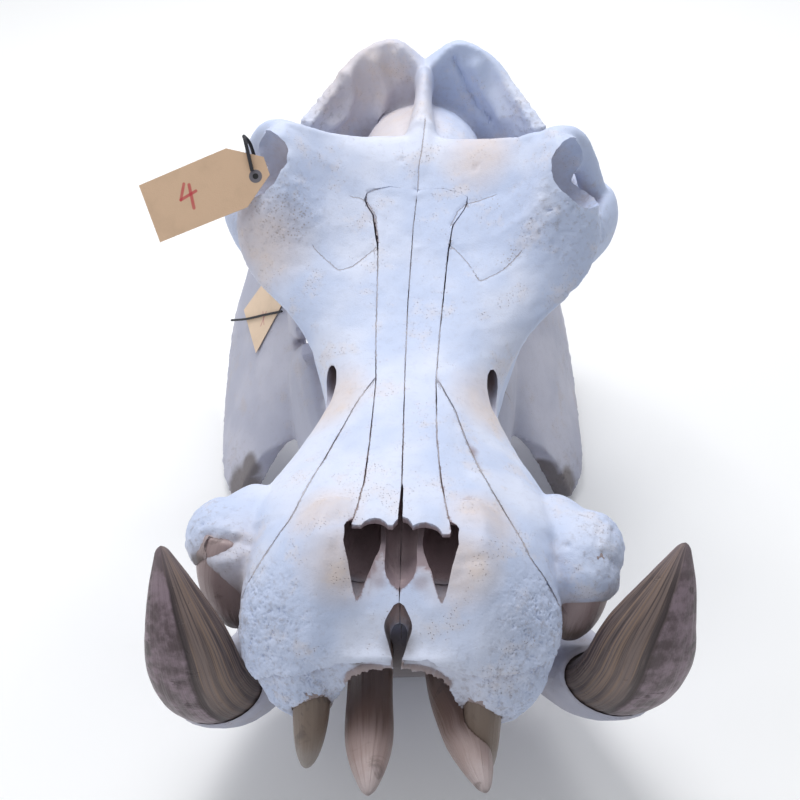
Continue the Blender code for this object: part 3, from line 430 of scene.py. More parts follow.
def keep_largest(body):
    """Keep only the largest closed surface of an object, in triangles."""
    bm = bmesh.new()
    bm.from_mesh(body.data)
    bmesh.ops.remove_doubles(bm, verts=bm.verts, dist=1e-6)
    left = set(bm.faces)
    islands = []
    while left:
        island, edge = set(), [left.pop()]
        while edge:
            face = edge.pop()
            island.add(face)
            near = {f for e in face.edges for f in e.link_faces if f in left}
            left -= near
            edge.extend(near)
        islands.append(island)
    best = max(islands, key=lambda island: sum(face.calc_area() for face in island))
    bmesh.ops.delete(bm, geom=[f for f in bm.faces if f not in best], context="FACES")
    bmesh.ops.triangulate(bm, faces=bm.faces)
    bm.to_mesh(body.data)
    bm.free()

# %% [markdown]
# ## The cranium
# The muzzle ends in two broad lobes with a notch between them, under the open nose. Behind it
# the face narrows to a waist and widens again to the cheek bones, whose ridge carries the eyes.

# %% Muzzle and face
WAIST_HALF = 8.2
CHEEK_HALF = 18.3
ARCH_HALF = 19.4
OCCLUSAL_Z = 20.0
PALATE_Z = 22.5
NECK_Y = 67.2


def muzzle_forms(bm):
    """The two broad front lobes, with the rims of the nose opening."""
    add_loft(bm, (
        (12.5, ((0, 30.8), (2.4, 30.8), (4.4, 32.3), (8.6, 30.4), (11.6, 29.0), (13.2, 27),
                (12.8, 23), (9.5, 19.8), (5.6, 20.4), (2.8, 21.2), (0, 21.6))),
        (8, ((0, 30.2), (2.4, 30.2), (4.9, 32.8), (8.6, 31), (11.4, 28.9), (13.3, 25.8),
             (13, 21.4), (9, 17.9), (5.6, 19.4), (3, 21.6), (0, 22.4))),
        (5.5, ((0, 29.6), (2.6, 29.7), (4.9, 31.4), (8.4, 30.2), (11.3, 28), (13.3, 25),
               (13, 21), (9, 17.2), (5.6, 18.6), (3.4, 22.4), (0, 24))),
        (3.6, ((0, 28.8), (2.6, 29), (5, 29.6), (8.4, 28.8), (11.2, 26.8), (13.1, 24),
               (12.6, 20.6), (8.8, 16.9), (5.6, 18.4), (3.6, 23.4), (0, 24.8))),
        (1.8, ((0, 26.6), (2.6, 26.8), (5, 27.2), (8, 27), (10.6, 25.2), (12.2, 22.8),
               (11.7, 20), (8.6, 16.7), (5.8, 18.4), (3.7, 23.8), (0, 25))),
        (0.3, ((0, 25.8), (2.4, 25.7), (4.6, 25.5), (7.6, 25), (9.8, 23.8), (11, 21.8),
               (10.6, 19.6), (8.4, 17.0), (6.1, 18.8), (4, 23.6), (0, 25.2))),
    ), blunt=0.03, along=30)
    add_blob(bm, (8, 2.8, 21.4), (3.4, 3.5, 4.3))


def face_forms(bm):
    """Nose roof, cheeks and forehead as one loft from the muzzle to the braincase."""
    add_loft(bm, (
        (9.6, ((0, 32.6), (4, 32.4), (9, 30.3), (12.8, 28.6), (14, 26), (13.4, 22), (11, 19.5),
               (0, 20.5))),
        (14, ((0, 32.3), (3.4, 32.1), (8.2, 30.5), (12, 28.7), (13.6, 26.5), (12.8, 22.5), (10, 20.3),
              (0, 21.2))),
        (18, ((0, 31.8), (3, 31.6), (7.3, 30.1), (10.8, 28.4), (12.5, 26.4), (11.5, 23), (8.5, 21.2),
              (0, 21.8))),
        (24, ((0, 31.3), (3, 31.1), (5.9, 29.9), (8.7, 27.9), (10.2, 25.6), (9.6, 23), (7.8, 21.6),
              (0, 22.3))),
        (30, ((0, 31), (3.3, 30.9), (5.6, 30.1), (7.4, 28.3), (WAIST_HALF, 25.8), (8.2, 23.5), (7.8, 21.8),
              (0, PALATE_Z))),
        (34, ((0, 31.5), (3.5, 31.5), (6.2, 31.1), (8.5, 30.0), (9.4, 28.4), (8.9, 25.5), (8.5, 22),
              (0, 22.8))),
        (38, ((0, 32.5), (3.8, 32.7), (7.4, 33), (11, 32.7), (12.7, 31.2), (10.6, 28.4), (9.3, 22.3),
              (0, 23))),
        (42, ((0, 33.9), (4, 34.3), (8.5, 35.5), (13, 36), (16.8, 33), (12.8, 29.8), (9.8, 22.6),
              (0, 23))),
        (45, ((0, 35.4), (4, 36), (9, 38.3), (13.8, 41.6), (CHEEK_HALF, 35.6), (14.6, 30.6), (9.6, 23),
              (0, 23.2))),
        (48, ((0, 37.1), (4, 37.6), (9, 40.2), (14, 44.6), (17.2, 41), (17.3, 32.8), (9, 24), (0, 23.6))),
        (50.5, ((0, 38.6), (4, 39.2), (8.5, 41.5), (13.8, 45), (16.2, 42.5), (14.6, 37), (7, 27),
                (0, 24.4))),
        (53, ((0, 40.2), (4, 40.7), (7.6, 41.9), (9.5, 42.2), (8, 39), (6, 34), (4.6, 27.5), (0, 25.5))),
        (57, ((0, 41.9), (1.6, 41.5), (3.2, 40.2), (4.4, 38), (5, 35.5), (5, 32), (4, 28), (0, 26.5))),
    ))
    # Sockets of the upper canines, the left one longer
    socket = ((11, 17.8, 25.4, 2.8, 2.6), (13.6, 14.8, 25, 3.4, 3.3), (14.9, 12, 24.3, 3.7, 4.2))
    for sign, low in ((1, (15, 9.2, 22.4, 3.5, 3.7)), (-1, (15.2, 10.4, 24.2, 3.3, 3.2))):
        add_tube(bm, socket + (low,), blunt=0.2, signs=(sign,))
    add_blob(bm, (15.9, 13.2, 25.4), (3.2, 3.8, 3.0))
    # The right socket's wall, which runs on down the inner side of its canine
    add_tube(bm, ((15.4, 11.6, 27, 2.6, 2.6), (14.3, 10.9, 24.4, 2.3, 2.6), (12.8, 10.9, 21.4, 1.6, 1.8)),
             signs=(-1,), blunt=0.2)
    # Tips of the nose roof
    add_loft(bm, (
        (7, ((0, 32.0), (2, 32.0), (4.1, 31.9), (4.4, 31.6), (3.6, 31.2), (0, 31.1))),
        (10, ((0, 32.5), (2, 32.5), (4.1, 32.2), (4.4, 31.8), (3.6, 31.3), (0, 31.2))),
        (13, ((0, 32.3), (2, 32.2), (3.9, 31.9), (4.2, 31.2), (3.6, 30.6), (0, 30.5))),
    ), half_points=12, along=12, blunt=0.03)

# %% [markdown]
# A flat arch of bone runs from below each eye to the jaw joint, and a bar closes the eye socket
# behind. The braincase is small: most of the back of the skull is the shield for the neck muscles.

# %% Cheek arches and neck shield
def cheek_forms(bm):
    """The cheek arch, its root by the jaw joint, and the bar behind the eye."""
    add_tube(bm, ((15.4, 44.5, 34.2, 1.6, 2.5), (17.8, 48, 33.8, 1.5, 2.9), (ARCH_HALF, 52, 33.7, 1.4, 3),
                  (19.2, 56, 32.8, 1.4, 2.6), (17.6, 60, 32, 1.7, 2.3), (14, 63, 31.6, 2, 2.2)), blunt=0.1)
    add_tube(bm, ((13, 51.2, 43.6, 1.2, 1.3), (15.2, 51.9, 42.8, 1, 1.4), (16.6, 52.2, 40.4, 0.9, 1.4),
                  (17.6, 52.4, 37.6, 1, 1.4), (18.6, 52.6, 35, 1.2, 1.5)), blunt=0.1)
    add_blob(bm, (13.6, 51.4, 41.4), (2.6, 1.7, 3.2))
    add_tube(bm, ((17.4, 59.6, 31.6, 2.4, 1.6), (13, 61.6, 31, 2.6, 1.8), (8, 62, 30.6, 2.8, 2.2),
                  (4, 61.5, 30.6, 2.6, 2.2)))


def neck_forms(bm):
    """Braincase, its crest, the neck shield and the skull's base."""
    add_blob(bm, (0, 60.5, 35), (6.6, 7.8, 5.4), signs=(1,))
    add_tube(bm, ((0, 50, 36.4, 3, 1.4), (0, 54, 38.9, 2.6, 2), (0, 58, 40.3, 1.4, 2.3),
                  (0, 63, 41.2, 0.9, 2.8), (0, 66, 42, 1.2, 2.7)), signs=(1,), blunt=0.08)
    add_plate(bm, (
        ((0, 66, 28.5, 1.6), (4, 66, 28.5, 1.6), (8, 65, 29, 1.6), (12, 63.4, 30, 1.6),
         (15, 61.5, 31.5, 1.4)),
        ((0, 66.8, 36, 1.2), (4, 66.6, 36.4, 1.2), (8, 65.4, 36.4, 1.2), (11.4, 62.6, 36, 1),
         (13.8, 60.4, 35.4, 0.9)),
        ((0, 66, 43.6, 0.9), (3.4, NECK_Y, 45.8, 0.6), (7, 66.9, 44.4, 0.6), (9.6, 64.4, 42, 0.6),
         (12.6, 60.4, 39.4, 0.7)),
    ))
    add_tube(bm, ((0, 43, 25, 3.6, 2.2), (0, 52, 27, 3.4, 2.6), (0, 60, 29, 4, 2.8),
                  (0, 67, 30, 4.4, 2.6)), signs=(1,))
    # Joints with the neck, the points beside them and the ear bones
    add_blob(bm, (3.7, 68.4, 28.6), (2.4, 1.9, 3.1), turn=(0, 20, 0))
    add_tube(bm, ((6.4, 64.5, 31, 2, 2), (6.9, 65.6, 27.5, 1.3, 1.5),
                  (6.9, 66.2, 23.6, 0.8, 0.9)), blunt=0.2)
    add_blob(bm, (6, 60.4, 27.4), (1.8, 2.6, 2.2))
    # Wings beside the throat
    add_plate(bm, (
        ((3.9, 46, 26, 0.7), (4.2, 50, 27, 0.7), (4.2, 54, 28, 0.7)),
        ((4.2, 47, 21.4, 0.5), (4.6, 50, 21.4, 0.5), (4.6, 53, 23.4, 0.5)),
    ), across=14, along=14)

# %% [markdown]
# The cheek teeth stand in two straight rows, each tooth a pair of cusps. They hardly show behind
# the tusks, so one loop over their places and sizes makes both jaws' rows.

# %% Cheek teeth
CHEEK_TEETH = ((24.0, 3.0, 2.0), (27.6, 3.2, 2.4), (31.1, 3.2, 3.0),
               (35.0, 3.8, 3.6), (39.6, 4.6, 4.2), (44.6, 4.8, 4.0))
CHEEK_ROW_HALF = 5.6
LOWER_ROW_HALF = 5.9


def add_cheek_teeth(bm, row_half, crown_end, root_z):
    """Both rows of cheek teeth, each a pair of cusps on long roots."""
    for y, length, width in CHEEK_TEETH:
        x = row_half + 0.05 * (y - CHEEK_TEETH[0][0])
        for part in (-0.25, 0.25):
            place = y + part * length
            add_tube(bm, ((x, place, root_z, width / 2, length * 0.3),
                          (x, place, (root_z + crown_end) / 2, width / 2, length * 0.3),
                          (x, place, crown_end, width / 2.2, length * 0.27)),
                     around=10, along=8, blunt=0.06, square=0.8)

# %% [markdown]
# The eye sockets, the two passages of the nose, the slit between the lobes and the openings for
# nerves are all hollow. Each is cut with a pulled ball of its own, from the widest down.

# %% Openings
GAP = 0.04
SIDES = (("left", 1), ("right", -1))
ORBIT_CENTRE = (15.6, 47.95, 41.3)
ORBIT_RADII = (3.5, 3.3, 3.8)
ORBIT_TURN = (0.0, -15.0, -29.0)


def cut_openings(cranium):
    """Eye sockets, nerve openings and the neck hole."""
    x, y, z = ORBIT_CENTRE
    cut(cranium, lambda bm: add_blob(bm, ORBIT_CENTRE, ORBIT_RADII, turn=ORBIT_TURN))
    behind_eye = ((x - 0.6, y + 0.8, z - 4, 1.5, 1.5), (x - 2.2, y + 4, z - 7, 2.0, 2.2),
                  (x - 4, y + 9, z - 9, 2.6, 2.8))
    nerve = ((8.3, 27.6, 27.4, 0.6, 1.4), (7.6, 31.4, 27.7, 0.75, 1.6), (7.3, 36, 28, 0.4, 0.8))
    neck_hole = ((0, 62.5, 31, 1.4, 1.3), (0, 71, 31.2, 1.9, 1.7))
    cut(cranium, lambda bm: add_tube(bm, behind_eye))
    cut(cranium, lambda bm: add_tube(bm, nerve, around=14, along=16))
    cut(cranium, lambda bm: add_tube(bm, neck_hole, signs=(1,), around=16, along=12))


# Open space under and before the nose roof
UNDER_ROOF = ((0, 1.5, 32.6, 3.6, 1.9), (0, 5, 32.0, 4.2, 1.2), (0, 8, 31.3, 4.2, 1.0),
              (0, 11, 30.8, 3.9, 1), (0, 18, 29.9, 3.2, 0.6))
# A passage, which opens in a V that runs down the lobe
NOSE_PASSAGE = ((3.4, 3.9, 29.8, 0.1, 0.6), (3.4, 5, 29.8, 0.5, 1.6), (3.4, 6.2, 29.8, 0.95, 2.4),
                (3.5, 8.2, 29.8, 1.75, 3.1), (3.4, 9.5, 29.2, 1.7, 2.2), (3.3, 13, 28.6, 1.5, 2),
                (3.2, 20, 27.8, 1.4, 2), (3, 27, 27.6, 1.2, 1.7))
# The trough of the dividing bone, and the slit between the lobes
NOSE_TROUGH = ((0, 4.9, 30.4, 0.3, 0.5), (0, 6, 30.2, 1.15, 1.3), (0, 8.4, 29.8, 1.35, 1.7),
               (0, 20, 29, 1.2, 1.3))
LOBE_SLIT = ((0, 4.7, 28.6, 0.3, 2.2), (0, 3.3, 27.6, 1.15, 4), (0, 1.8, 26.4, 0.7, 5),
             (0, 0.5, 25.6, 0.3, 5.4), (0, -1.4, 25, 0.25, 6))
# How far forward each nose bone reaches, and the bites out of its tip as (x, y, half width, depth)
SCALLOPS = {
    "nasal_right": (8.9, ((-2.2, 8.2, 1.3, 1.4), (0.1, 7.9, 1, 1.9), (-0.15, 9, 0.2, 4.8),
                          (-4.5, 8.2, 0.6, 1.2))),
    "nasal_left": (8.3, ((1.9, 8, 1.5, 1.3), (0.1, 7.9, 1, 1.9), (-0.15, 9, 0.2, 4.8),
                         (4.5, 8, 0.6, 1.2))),
}


def bite(bm, x, y, wide, deep):
    """An upright rounded cutter at the nose roof's tip."""
    add_blob(bm, (x, y, 31.6), (wide, deep, 5), signs=(1,), around=16)


def open_nose(parts):
    """The nose passages with their mouths, the trough, the slit and the scalloped tips."""
    air = ((UNDER_ROOF, (1,), 1.0), (NOSE_PASSAGE, (1, -1), 0.6), (NOSE_TROUGH, (1,), 1.0),
           (LOBE_SLIT, (1,), 1.0))
    for name in ("cranium", "premaxilla_left", "premaxilla_right"):
        for keys, signs, square in air:
            cut(parts[name], lambda bm: add_tube(bm, keys, 16, 24, 0.04, signs, square))
    for name, (front, bites) in SCALLOPS.items():
        cut(parts[name], lambda bm: add_box(bm, (-6, 4, 28), (6, front, 34)))
        for sizes in bites:
            cut(parts[name], lambda bm: bite(bm, *sizes))


# %% [markdown]
# The nose bones and the front lobes are bones of their own, joined to the face along seams.
# A block open to the sky, with the seam's outline, keeps the bone and cuts its place in the face.

# %% Splitting along the seams
# Seams seen from above as (y, x): the middle one, the outer edges of the nose bones and of the
# front lobes on the left and on the right, and how low each bone reaches as (y, z)
MIDDLE = read_keys(((6, 0), (10.4, -0.12), (19.6, -0.35), (29.7, -0.6), (38.3, -0.67),
                    (45.7, -0.48), (50, -0.15)))
NOSE_EDGES = (
    ((6, 4.3), (8, 4.1), (10.8, 3.6), (14.4, 3.06), (19.9, 2.61), (28.4, 2.33), (34.9, 2.55), (40.5, 2.89),
     (43.5, 3.1), (46, 3.5), (47.3, 4.6), (48.3, 5.0), (49.2, 3.8), (50, 1.2)),
    ((6, 4.3), (9, 4.05), (10.2, 3.8), (14.1, 3.35), (19.7, 3.26), (28.3, 3.24), (33.5, 3.55), (38, 3.7),
     (42.3, 3.83), (44.2, 3.95), (46.6, 4.5), (47.6, 5.4), (48.6, 5.2), (49.4, 3.8), (50, 1.2)))
NOSE_UNDER = read_keys(((6, 31.75), (9, 31.8), (10.5, 31.6), (12, 31.2), (14, 30.7), (22, 30.1),
                        (30, 29.6), (38, 31), (44, 33.4), (50, 37)))
NOSE_PLACES = tuple(float(y) for y in np.arange(6.4, 49.7, 0.6))
LOBE_EDGES = (
    ((-8, 16), (4.5, 15), (5.8, 14.4), (7.2, 12), (8.1, 10.6), (10.6, 9.3), (14.7, 7.25), (19.7, 5.55),
     (24.7, 4.15), (28.8, 2.36)),
    ((-8, 16), (4.5, 15), (5.8, 14.4), (7.3, 11.9), (8.7, 10.7), (10.9, 9.4), (16.3, 7.8), (21, 6.5),
     (25.4, 5), (28.8, 3.26)))
LOBE_UNDER = read_keys(((6, 10), (8, 18), (12, 24.5), (28.8, 28.6)))
LOBE_PLACES = (-8.0,) + tuple(float(y) for y in np.arange(3.6, 28.9, 0.6))


def split_cranium(cranium):
    """Part the nose bones and the two front lobes from the cranium with thin cuts."""
    parts = {"cranium": cranium}
    for name, edges, under, places in (("nasal_", NOSE_EDGES, NOSE_UNDER, NOSE_PLACES),
                                       ("premaxilla_", LOBE_EDGES, LOBE_UNDER, LOBE_PLACES)):
        left_edge, right_edge = (read_keys(keys) for keys in edges)
        sides = (("left", lambda y: MIDDLE(y) + GAP / 2, left_edge),
                 ("right", lambda y: -right_edge(y), lambda y: MIDDLE(y) - GAP / 2))
        for side, low, high in sides:
            bm = bmesh.new()
            add_prism(bm, places, low, high, under)
            tool = new_object("tool", bm)
            bone = copy_of(cranium, name + side)
            boolean(bone, tool, "INTERSECT")
            bpy.data.objects.remove(tool)
            parts[name + side] = bone
        room = (places[0] - 4,) + places + (places[-1] + GAP,)
        cut(cranium, lambda bm: add_prism(bm, room, lambda y: -right_edge(y), left_edge, under, GAP))
    return parts


def make_cranium():
    """The cranium, the nose bones and the front lobes."""
    bm = bmesh.new()
    muzzle_forms(bm)
    face_forms(bm)
    cheek_forms(bm)
    neck_forms(bm)
    add_cheek_teeth(bm, CHEEK_ROW_HALF, OCCLUSAL_Z - 0.4, PALATE_Z + 1.0)
    cranium = new_object("skull_cranium", bm)
    fuse(cranium)
    cut_openings(cranium)
    cut(cranium, lambda bm: add_box(bm, (-30, 20, 0), (30, 52, OCCLUSAL_Z + GAP)))
    parts = split_cranium(cranium)
    open_nose(parts)
    for body in parts.values():
        keep_largest(body)
    return parts


parts = make_cranium()
for name, body in parts.items():
    print(name, len(body.data.polygons), "faces")

# %% [markdown]
# ## The lower jaw
# The lower jaw is broad at the chin, where the sockets of the tusks swell outward, and its angles
# flare into hooked plates. It stands turned a few degrees under the cranium, as in the photograph.

# %% Lower jaw bone
JAW_YAW = 3.98
JAW_PIVOT = (0.0, 60.0)
JAW_SHIFT = (-2.39, -0.11)


def jaw_forms(bm):
    """The lower jaw's bone, roughed out straight."""
    # Broad chin and the two bodies
    add_loft(bm, (
        (9.4, ((0, 13.4), (4, 13.8), (8, 13.6), (10, 12.6), (9, 11.4), (5, 10.9), (0, 10.8))),
        (12, ((0, 14.4), (4.4, 15), (9, 15), (12.6, 12.6), (11.6, 9), (6.4, 7.8), (0, 7.6))),
        (15, ((0, 14.2), (4.6, 15.2), (9.6, 15.8), (13, 12), (12, 6), (6.8, 3.9), (0, 3.6))),
        (18, ((0, 12.8), (4.2, 14.4), (9, 16.4), (12, 12), (11.2, 4.8), (6.4, 1.4), (0, 0.6))),
        (22, ((0, 11), (3.2, 12.4), (7.4, 17), (10, 12.4), (9.6, 5), (5.6, 0.7), (0, -0.4))),
        (26, ((0, 9.4), (2.6, 10.6), (6.4, 16.8), (9, 12), (8.6, 5.4), (5, 2), (0, 1.6))),
        (29, ((0, 8.2), (1.8, 8.6), (4.4, 12), (6.4, 11), (6, 6.6), (3.6, 4), (0, 4))),
    ), blunt=0.1, along=36)
    add_tube(bm, ((5.4, 15, 9, 3.2, 5.6), (6.3, 22, 10.4, 3, 6.8), (7.2, 31, 11.4, 2.8, 6.9),
                  (8.6, 39, 11.8, 2.9, 7), (10.2, 46, 13.4, 2.6, 7.4), (11.4, 51, 16.6, 2, 6.6)),
             blunt=0.1)
    # Tusk sockets
    add_tube(bm, ((8, 18.5, 8, 3.8, 3.8), (11.5, 15.6, 9, 4.1, 4.1),
                  (14.2, 12.6, 10.8, 4.1, 4.1)), blunt=0.08)
    for side, sign in SIDES:
        add_curled(bm, socket_keys(side == "left"), 24, 20, 0.03, (sign,))
    # Hooked plates of the jaw angle
    add_plate(bm, (
        ((12.2, 43.5, 9.6, 1.1), (15, 42.6, 7.6, 1.2), (17, 42, 4.6, 1.3), (18.6, 41.7, 0.6, 1.2)),
        ((11.6, 46, 14, 1), (15.2, 46, 9.6, 0.8), (18.6, 45.6, 5, 0.8), (20.3, 44.9, 1.2, 1)),
        ((11.6, 51, 19, 1), (15.2, 51, 13.4, 0.8), (18.8, 51.4, 7.2, 0.8), (20.9, 51.7, 2.1, 1)),
        ((12.4, 57, 22, 1), (15.6, 57.2, 16.6, 0.8), (19, 58.4, 9.8, 0.8), (20.9, 59.9, 3.8, 1)),
        ((13.6, 62, 24, 1), (16, 63, 19, 0.8), (18.8, 64.6, 12.8, 0.8), (20.1, 66, 8, 1)),
        ((14.4, 65.6, 25.8, 1), (15.6, 67, 21.8, 0.8), (17, 68.2, 17.8, 0.8), (17.9, 68.8, 14.5, 0.9)),
    ), across=36, along=30)
    # Coronoid process, neck and hinge of the jaw
    add_tube(bm, ((11.4, 49, 19, 1, 3), (12.2, 53.4, 24.6, 0.9, 2.6), (12.8, 56.4, 28.4, 0.7, 1.6),
                  (12.9, 58.6, 30, 0.5, 0.8)), blunt=0.1)
    add_plate(bm, (
        ((11.8, 50, 18, 0.9), (12.4, 56, 20, 0.9), (13.6, 62, 22, 0.9)),
        ((12, 51, 22, 0.8), (12.8, 56.6, 24, 0.8), (14.2, 64.6, 25.6, 1)),
    ), across=16, along=14)
    add_blob(bm, (14.6, 64.4, 26.3), (2.8, 1.6, 1.5), turn=(0, 8, 8))

# %% [markdown]
# A hippopotamus's tusks and front teeth grow all its life, in curves. Each tooth is a ball pulled
# along its curve, flattened as the real one is, so the same shape, grown by a hair, cuts its socket.

# %% Tooth curves
def tusk_keys(left, grow=0.0):
    """Middle line and half sizes of a lower tusk. The left one leans out and is broader."""
    lean, broad = (1.0, 1.1) if left else (0.0, 0.5)
    return [(x + lean * out - broad * full, y, z - lean * low, thick + grow, wide + broad * full + grow)
            for x, y, z, out, low, full, thick, wide in (
                (11.5, 16.5, 8, 0, 0, 0, 2.6, 2.9), (14.3, 12.2, 9.8, 0, 0, 0.2, 2.8, 3.3),
                (16.4, 8.4, 11.8, 0.2, 0, 0.5, 2.8, 3.7), (18, 5.8, 14.8, 0.5, 0, 0.8, 2.7, 3.9),
                (19.1, 4.9, 18.6, 0.8, 0.1, 1, 2.5, 3.7), (19.7, 5.5, 23, 1.1, 0.4, 1, 2.1, 3.1),
                (20.3, 7.2, 27, 1.4, 0.6, 0.5, 1.3, 1.9), (20.8, 9, 30.4, 1.5, 0.8, 0, 0.25, 0.4))]


def socket_keys(left):
    """The bone around the root of a lower tusk, which thins to a rim."""
    return [(x, y, z, thick + wall, wide + wall) for (x, y, z, thick, wide), wall in
            zip(tusk_keys(left), (1.3, 1.1, 0.8, 0.4))]


def lower_incisor_keys(left, grow=0.0):
    """Middle line and half sizes of a lower first incisor. The left one leans outward to its tip."""
    outward = 1.0 if left else 0.0
    return [(x + outward * lean, y, z, high + grow, wide + grow) for x, y, z, lean, high, wide in (
        (3.7, 14, 12.4, -1.1, 1.9, 1.9), (4, 4, 16.4, -1, 1.9, 2), (4.1, -1.6, 17.8, -0.2, 1.7, 2),
        (4.15, -4.6, 18.6, 0.4, 1.2, 1.4), (4.2, -7.4, 19.4, 0.8, 0.35, 0.4))]


def side_incisor_keys(grow=0.0):
    """Middle line and half sizes of a lower second incisor, which is short and worn."""
    return [(7.6, 14, 11.4, 1.1 + grow, 1.1 + grow), (8, 7, 13.6, 1.1 + grow, 1.1 + grow),
            (8.2, 3.8, 14.7, 0.7 + grow, 0.8 + grow)]


def upper_incisor_keys(grow=0.0):
    """Middle line and half sizes of an upper incisor."""
    return [(7.1, 2.6, 21.4, 1.8 + grow, 1.6 + grow), (7.1, -0.5, 18.7, 1.8 + grow, 1.5 + grow),
            (7.3, -2, 16.2, 1.2 + grow, 1.0 + grow), (7.5, -2.6, 14.7, 0.3 + grow, 0.3 + grow)]


def upper_canine_keys(grow=0.0):
    """Middle line and half sizes of an upper canine."""
    return [(15, 12.6, 27, 2.2 + grow, 2.2 + grow), (15.4, 11.2, 24.6, 2.5 + grow, 2.5 + grow),
            (15.2, 10.8, 21, 2.4 + grow, 2.4 + grow), (14.8, 10.8, 17.8, 1.6 + grow, 1.6 + grow),
            (14.7, 10.8, 16.6, 0.8 + grow, 0.8 + grow)]


def tusk_relief(across, t):
    """How far the skin of a tusk lies under its plain shape: ridges, rings and the worn inner side."""
    worn = np.clip((0.0 - across) / 0.12, 0.0, 1.0) * np.clip((t - 0.3) / 0.2, 0.0, 1.0)
    ridges = np.sin(25 * across + 6 * t) + 0.7 * np.sin(43 * across - 4 * t + 1.3)
    rings = np.sin(70 * t + 4 * across) + np.sin(113 * t - 3 * across)
    thin = np.clip((1.0 - t) / 0.15, 0.0, 1.0)
    return -thin * (0.09 * worn + 0.016 * (1.7 + ridges) + 0.006 * (2.0 + rings))


def incisor_relief(across, t):
    """Shallow grooves along an incisor."""
    grooves = np.sin(11 * across + 3 * t) + 0.6 * np.sin(23 * across - 2 * t)
    thin = np.clip((1.0 - t) / 0.12, 0.0, 1.0)
    return -0.012 * thin * (1.6 + grooves)


def place_jaw(body):
    """Turn a jaw piece about the neck end and shift it, as it lies under the cranium."""
    pivot = Vector((JAW_PIVOT[0], JAW_PIVOT[1], 0.0)) * CM
    shift = Vector((JAW_SHIFT[0], JAW_SHIFT[1], 0.0)) * CM
    turn = Matrix.Rotation(math.radians(JAW_YAW), 4, "Z")
    body.data.transform(Matrix.Translation(pivot + shift) @ turn @ Matrix.Translation(-pivot))

# %% [markdown]
# The jaw's bone and teeth are made straight, with every socket cut to its tooth, and then they
# turn and shift together.

# %% Lower jaw and its teeth
def make_jaw():
    """The lower jaw with its cheek teeth, tusks and incisors."""
    parts = {}
    bm = bmesh.new()
    jaw_forms(bm)
    add_cheek_teeth(bm, LOWER_ROW_HALF, OCCLUSAL_Z + 0.4, 16.0)
    jaw = new_object("skull_mandible", bm)
    fuse(jaw)
    cut(jaw, lambda bm: add_box(bm, (-30, 18, OCCLUSAL_Z), (30, 48, 40)))
    cut(jaw, lambda bm: add_box(bm, (-30, -10, -8), (30, 80, 0)))
    for side, sign in SIDES:
        left = side == "left"
        steps = (
            ("lower_tusk_", lambda grow: tusk_keys(left, grow), 160, 200, 0.02, tusk_relief),
            ("lower_incisor_", lambda grow: lower_incisor_keys(left, grow), 96, 120, 0.06, incisor_relief),
            ("side_incisor_", side_incisor_keys, 56, 70, 0.1, incisor_relief),
        )
        for name, keys, around, along, blunt, relief in steps:
            bm = bmesh.new()
            add_curled(bm, keys(0.0), around, along, blunt, (sign,), relief)
            tooth = new_object("skull_" + name + side, bm)
            cut(jaw, lambda bm: add_curled(bm, keys(GAP), 32, 48, blunt, (sign,)))
            parts[name + side] = tooth
    keep_largest(jaw)
    parts["mandible"] = jaw
    for body in parts.values():
        place_jaw(body)
    return parts


parts.update(make_jaw())
print("jaw", len(parts["mandible"].data.polygons), "faces")

# %% [markdown]
# The upper incisors and canines are short pegs. Each front lobe is also hollowed below, where the
# lower incisor passes it.

# %% Upper teeth
WEAR_GAP = 3 * GAP


def clear_of(body, keys, sign, around, along, blunt):
    """Cut away the room that a tooth of the lower jaw takes where it stands."""
    bm = bmesh.new()
    add_curled(bm, keys, around, along, blunt, (sign,))
    tool = new_object("tool", bm)
    place_jaw(tool)
    boolean(body, tool, "DIFFERENCE")
    bpy.data.objects.remove(tool)
    keep_largest(body)


def add_upper_tooth(parts, name, keys, side, sign, homes):
    """An upper tooth, with a socket or a worn facet cut to fit in each of its homes."""
    bm = bmesh.new()
    add_curled(bm, keys(0.0), 72, 90, 0.08, (sign,), incisor_relief)
    tooth = new_object("skull_" + name + side, bm)
    parts[name + side] = tooth
    if name == "upper_canine_":
        clear_of(tooth, tusk_keys(side == "left", WEAR_GAP), sign, 48, 80, 0.02)
    for home in homes:
        cut(parts[home], lambda bm: add_curled(bm, keys(GAP), 32, 40, 0.08, (sign,)))
        keep_largest(parts[home])


for side, sign in SIDES:
    passing = lower_incisor_keys(side == "left", WEAR_GAP)
    clear_of(parts["premaxilla_" + side], passing, sign, 32, 40, 0.06)
for side, sign in SIDES:
    beside = ("premaxilla_" + side, "lower_incisor_" + side)
    add_upper_tooth(parts, "upper_incisor_", upper_incisor_keys, side, sign, beside)
    add_upper_tooth(parts, "upper_canine_", upper_canine_keys, side, sign, ("cranium",))
print(len(parts), "bones and teeth")

# %% [markdown]
# ## Carving the surface
# A fused bone is as smooth as clay. Carving gives it back its age: each stroke below is a line of
# points with a width and a depth, and pressing along it moves the nearby skin in or out. A mesh
# could be sculpted by hand, but strokes in numbers come out the same each time.

# %% Strokes
def thin_out(body, faces):
    """Leave about so many triangles, fewer where the surface is flat."""
    have = sum(len(p.vertices) - 2 for p in body.data.polygons)
    thin = body.modifiers.new("thin", "DECIMATE")
    thin.ratio = min(1.0, faces / have)
    apply_modifiers(body)


def split_faces(body):
    """Four faces for each one, in place."""
    finer = body.modifiers.new("finer", "SUBSURF")
    finer.subdivision_type = "SIMPLE"
    finer.levels = 1
    apply_modifiers(body)


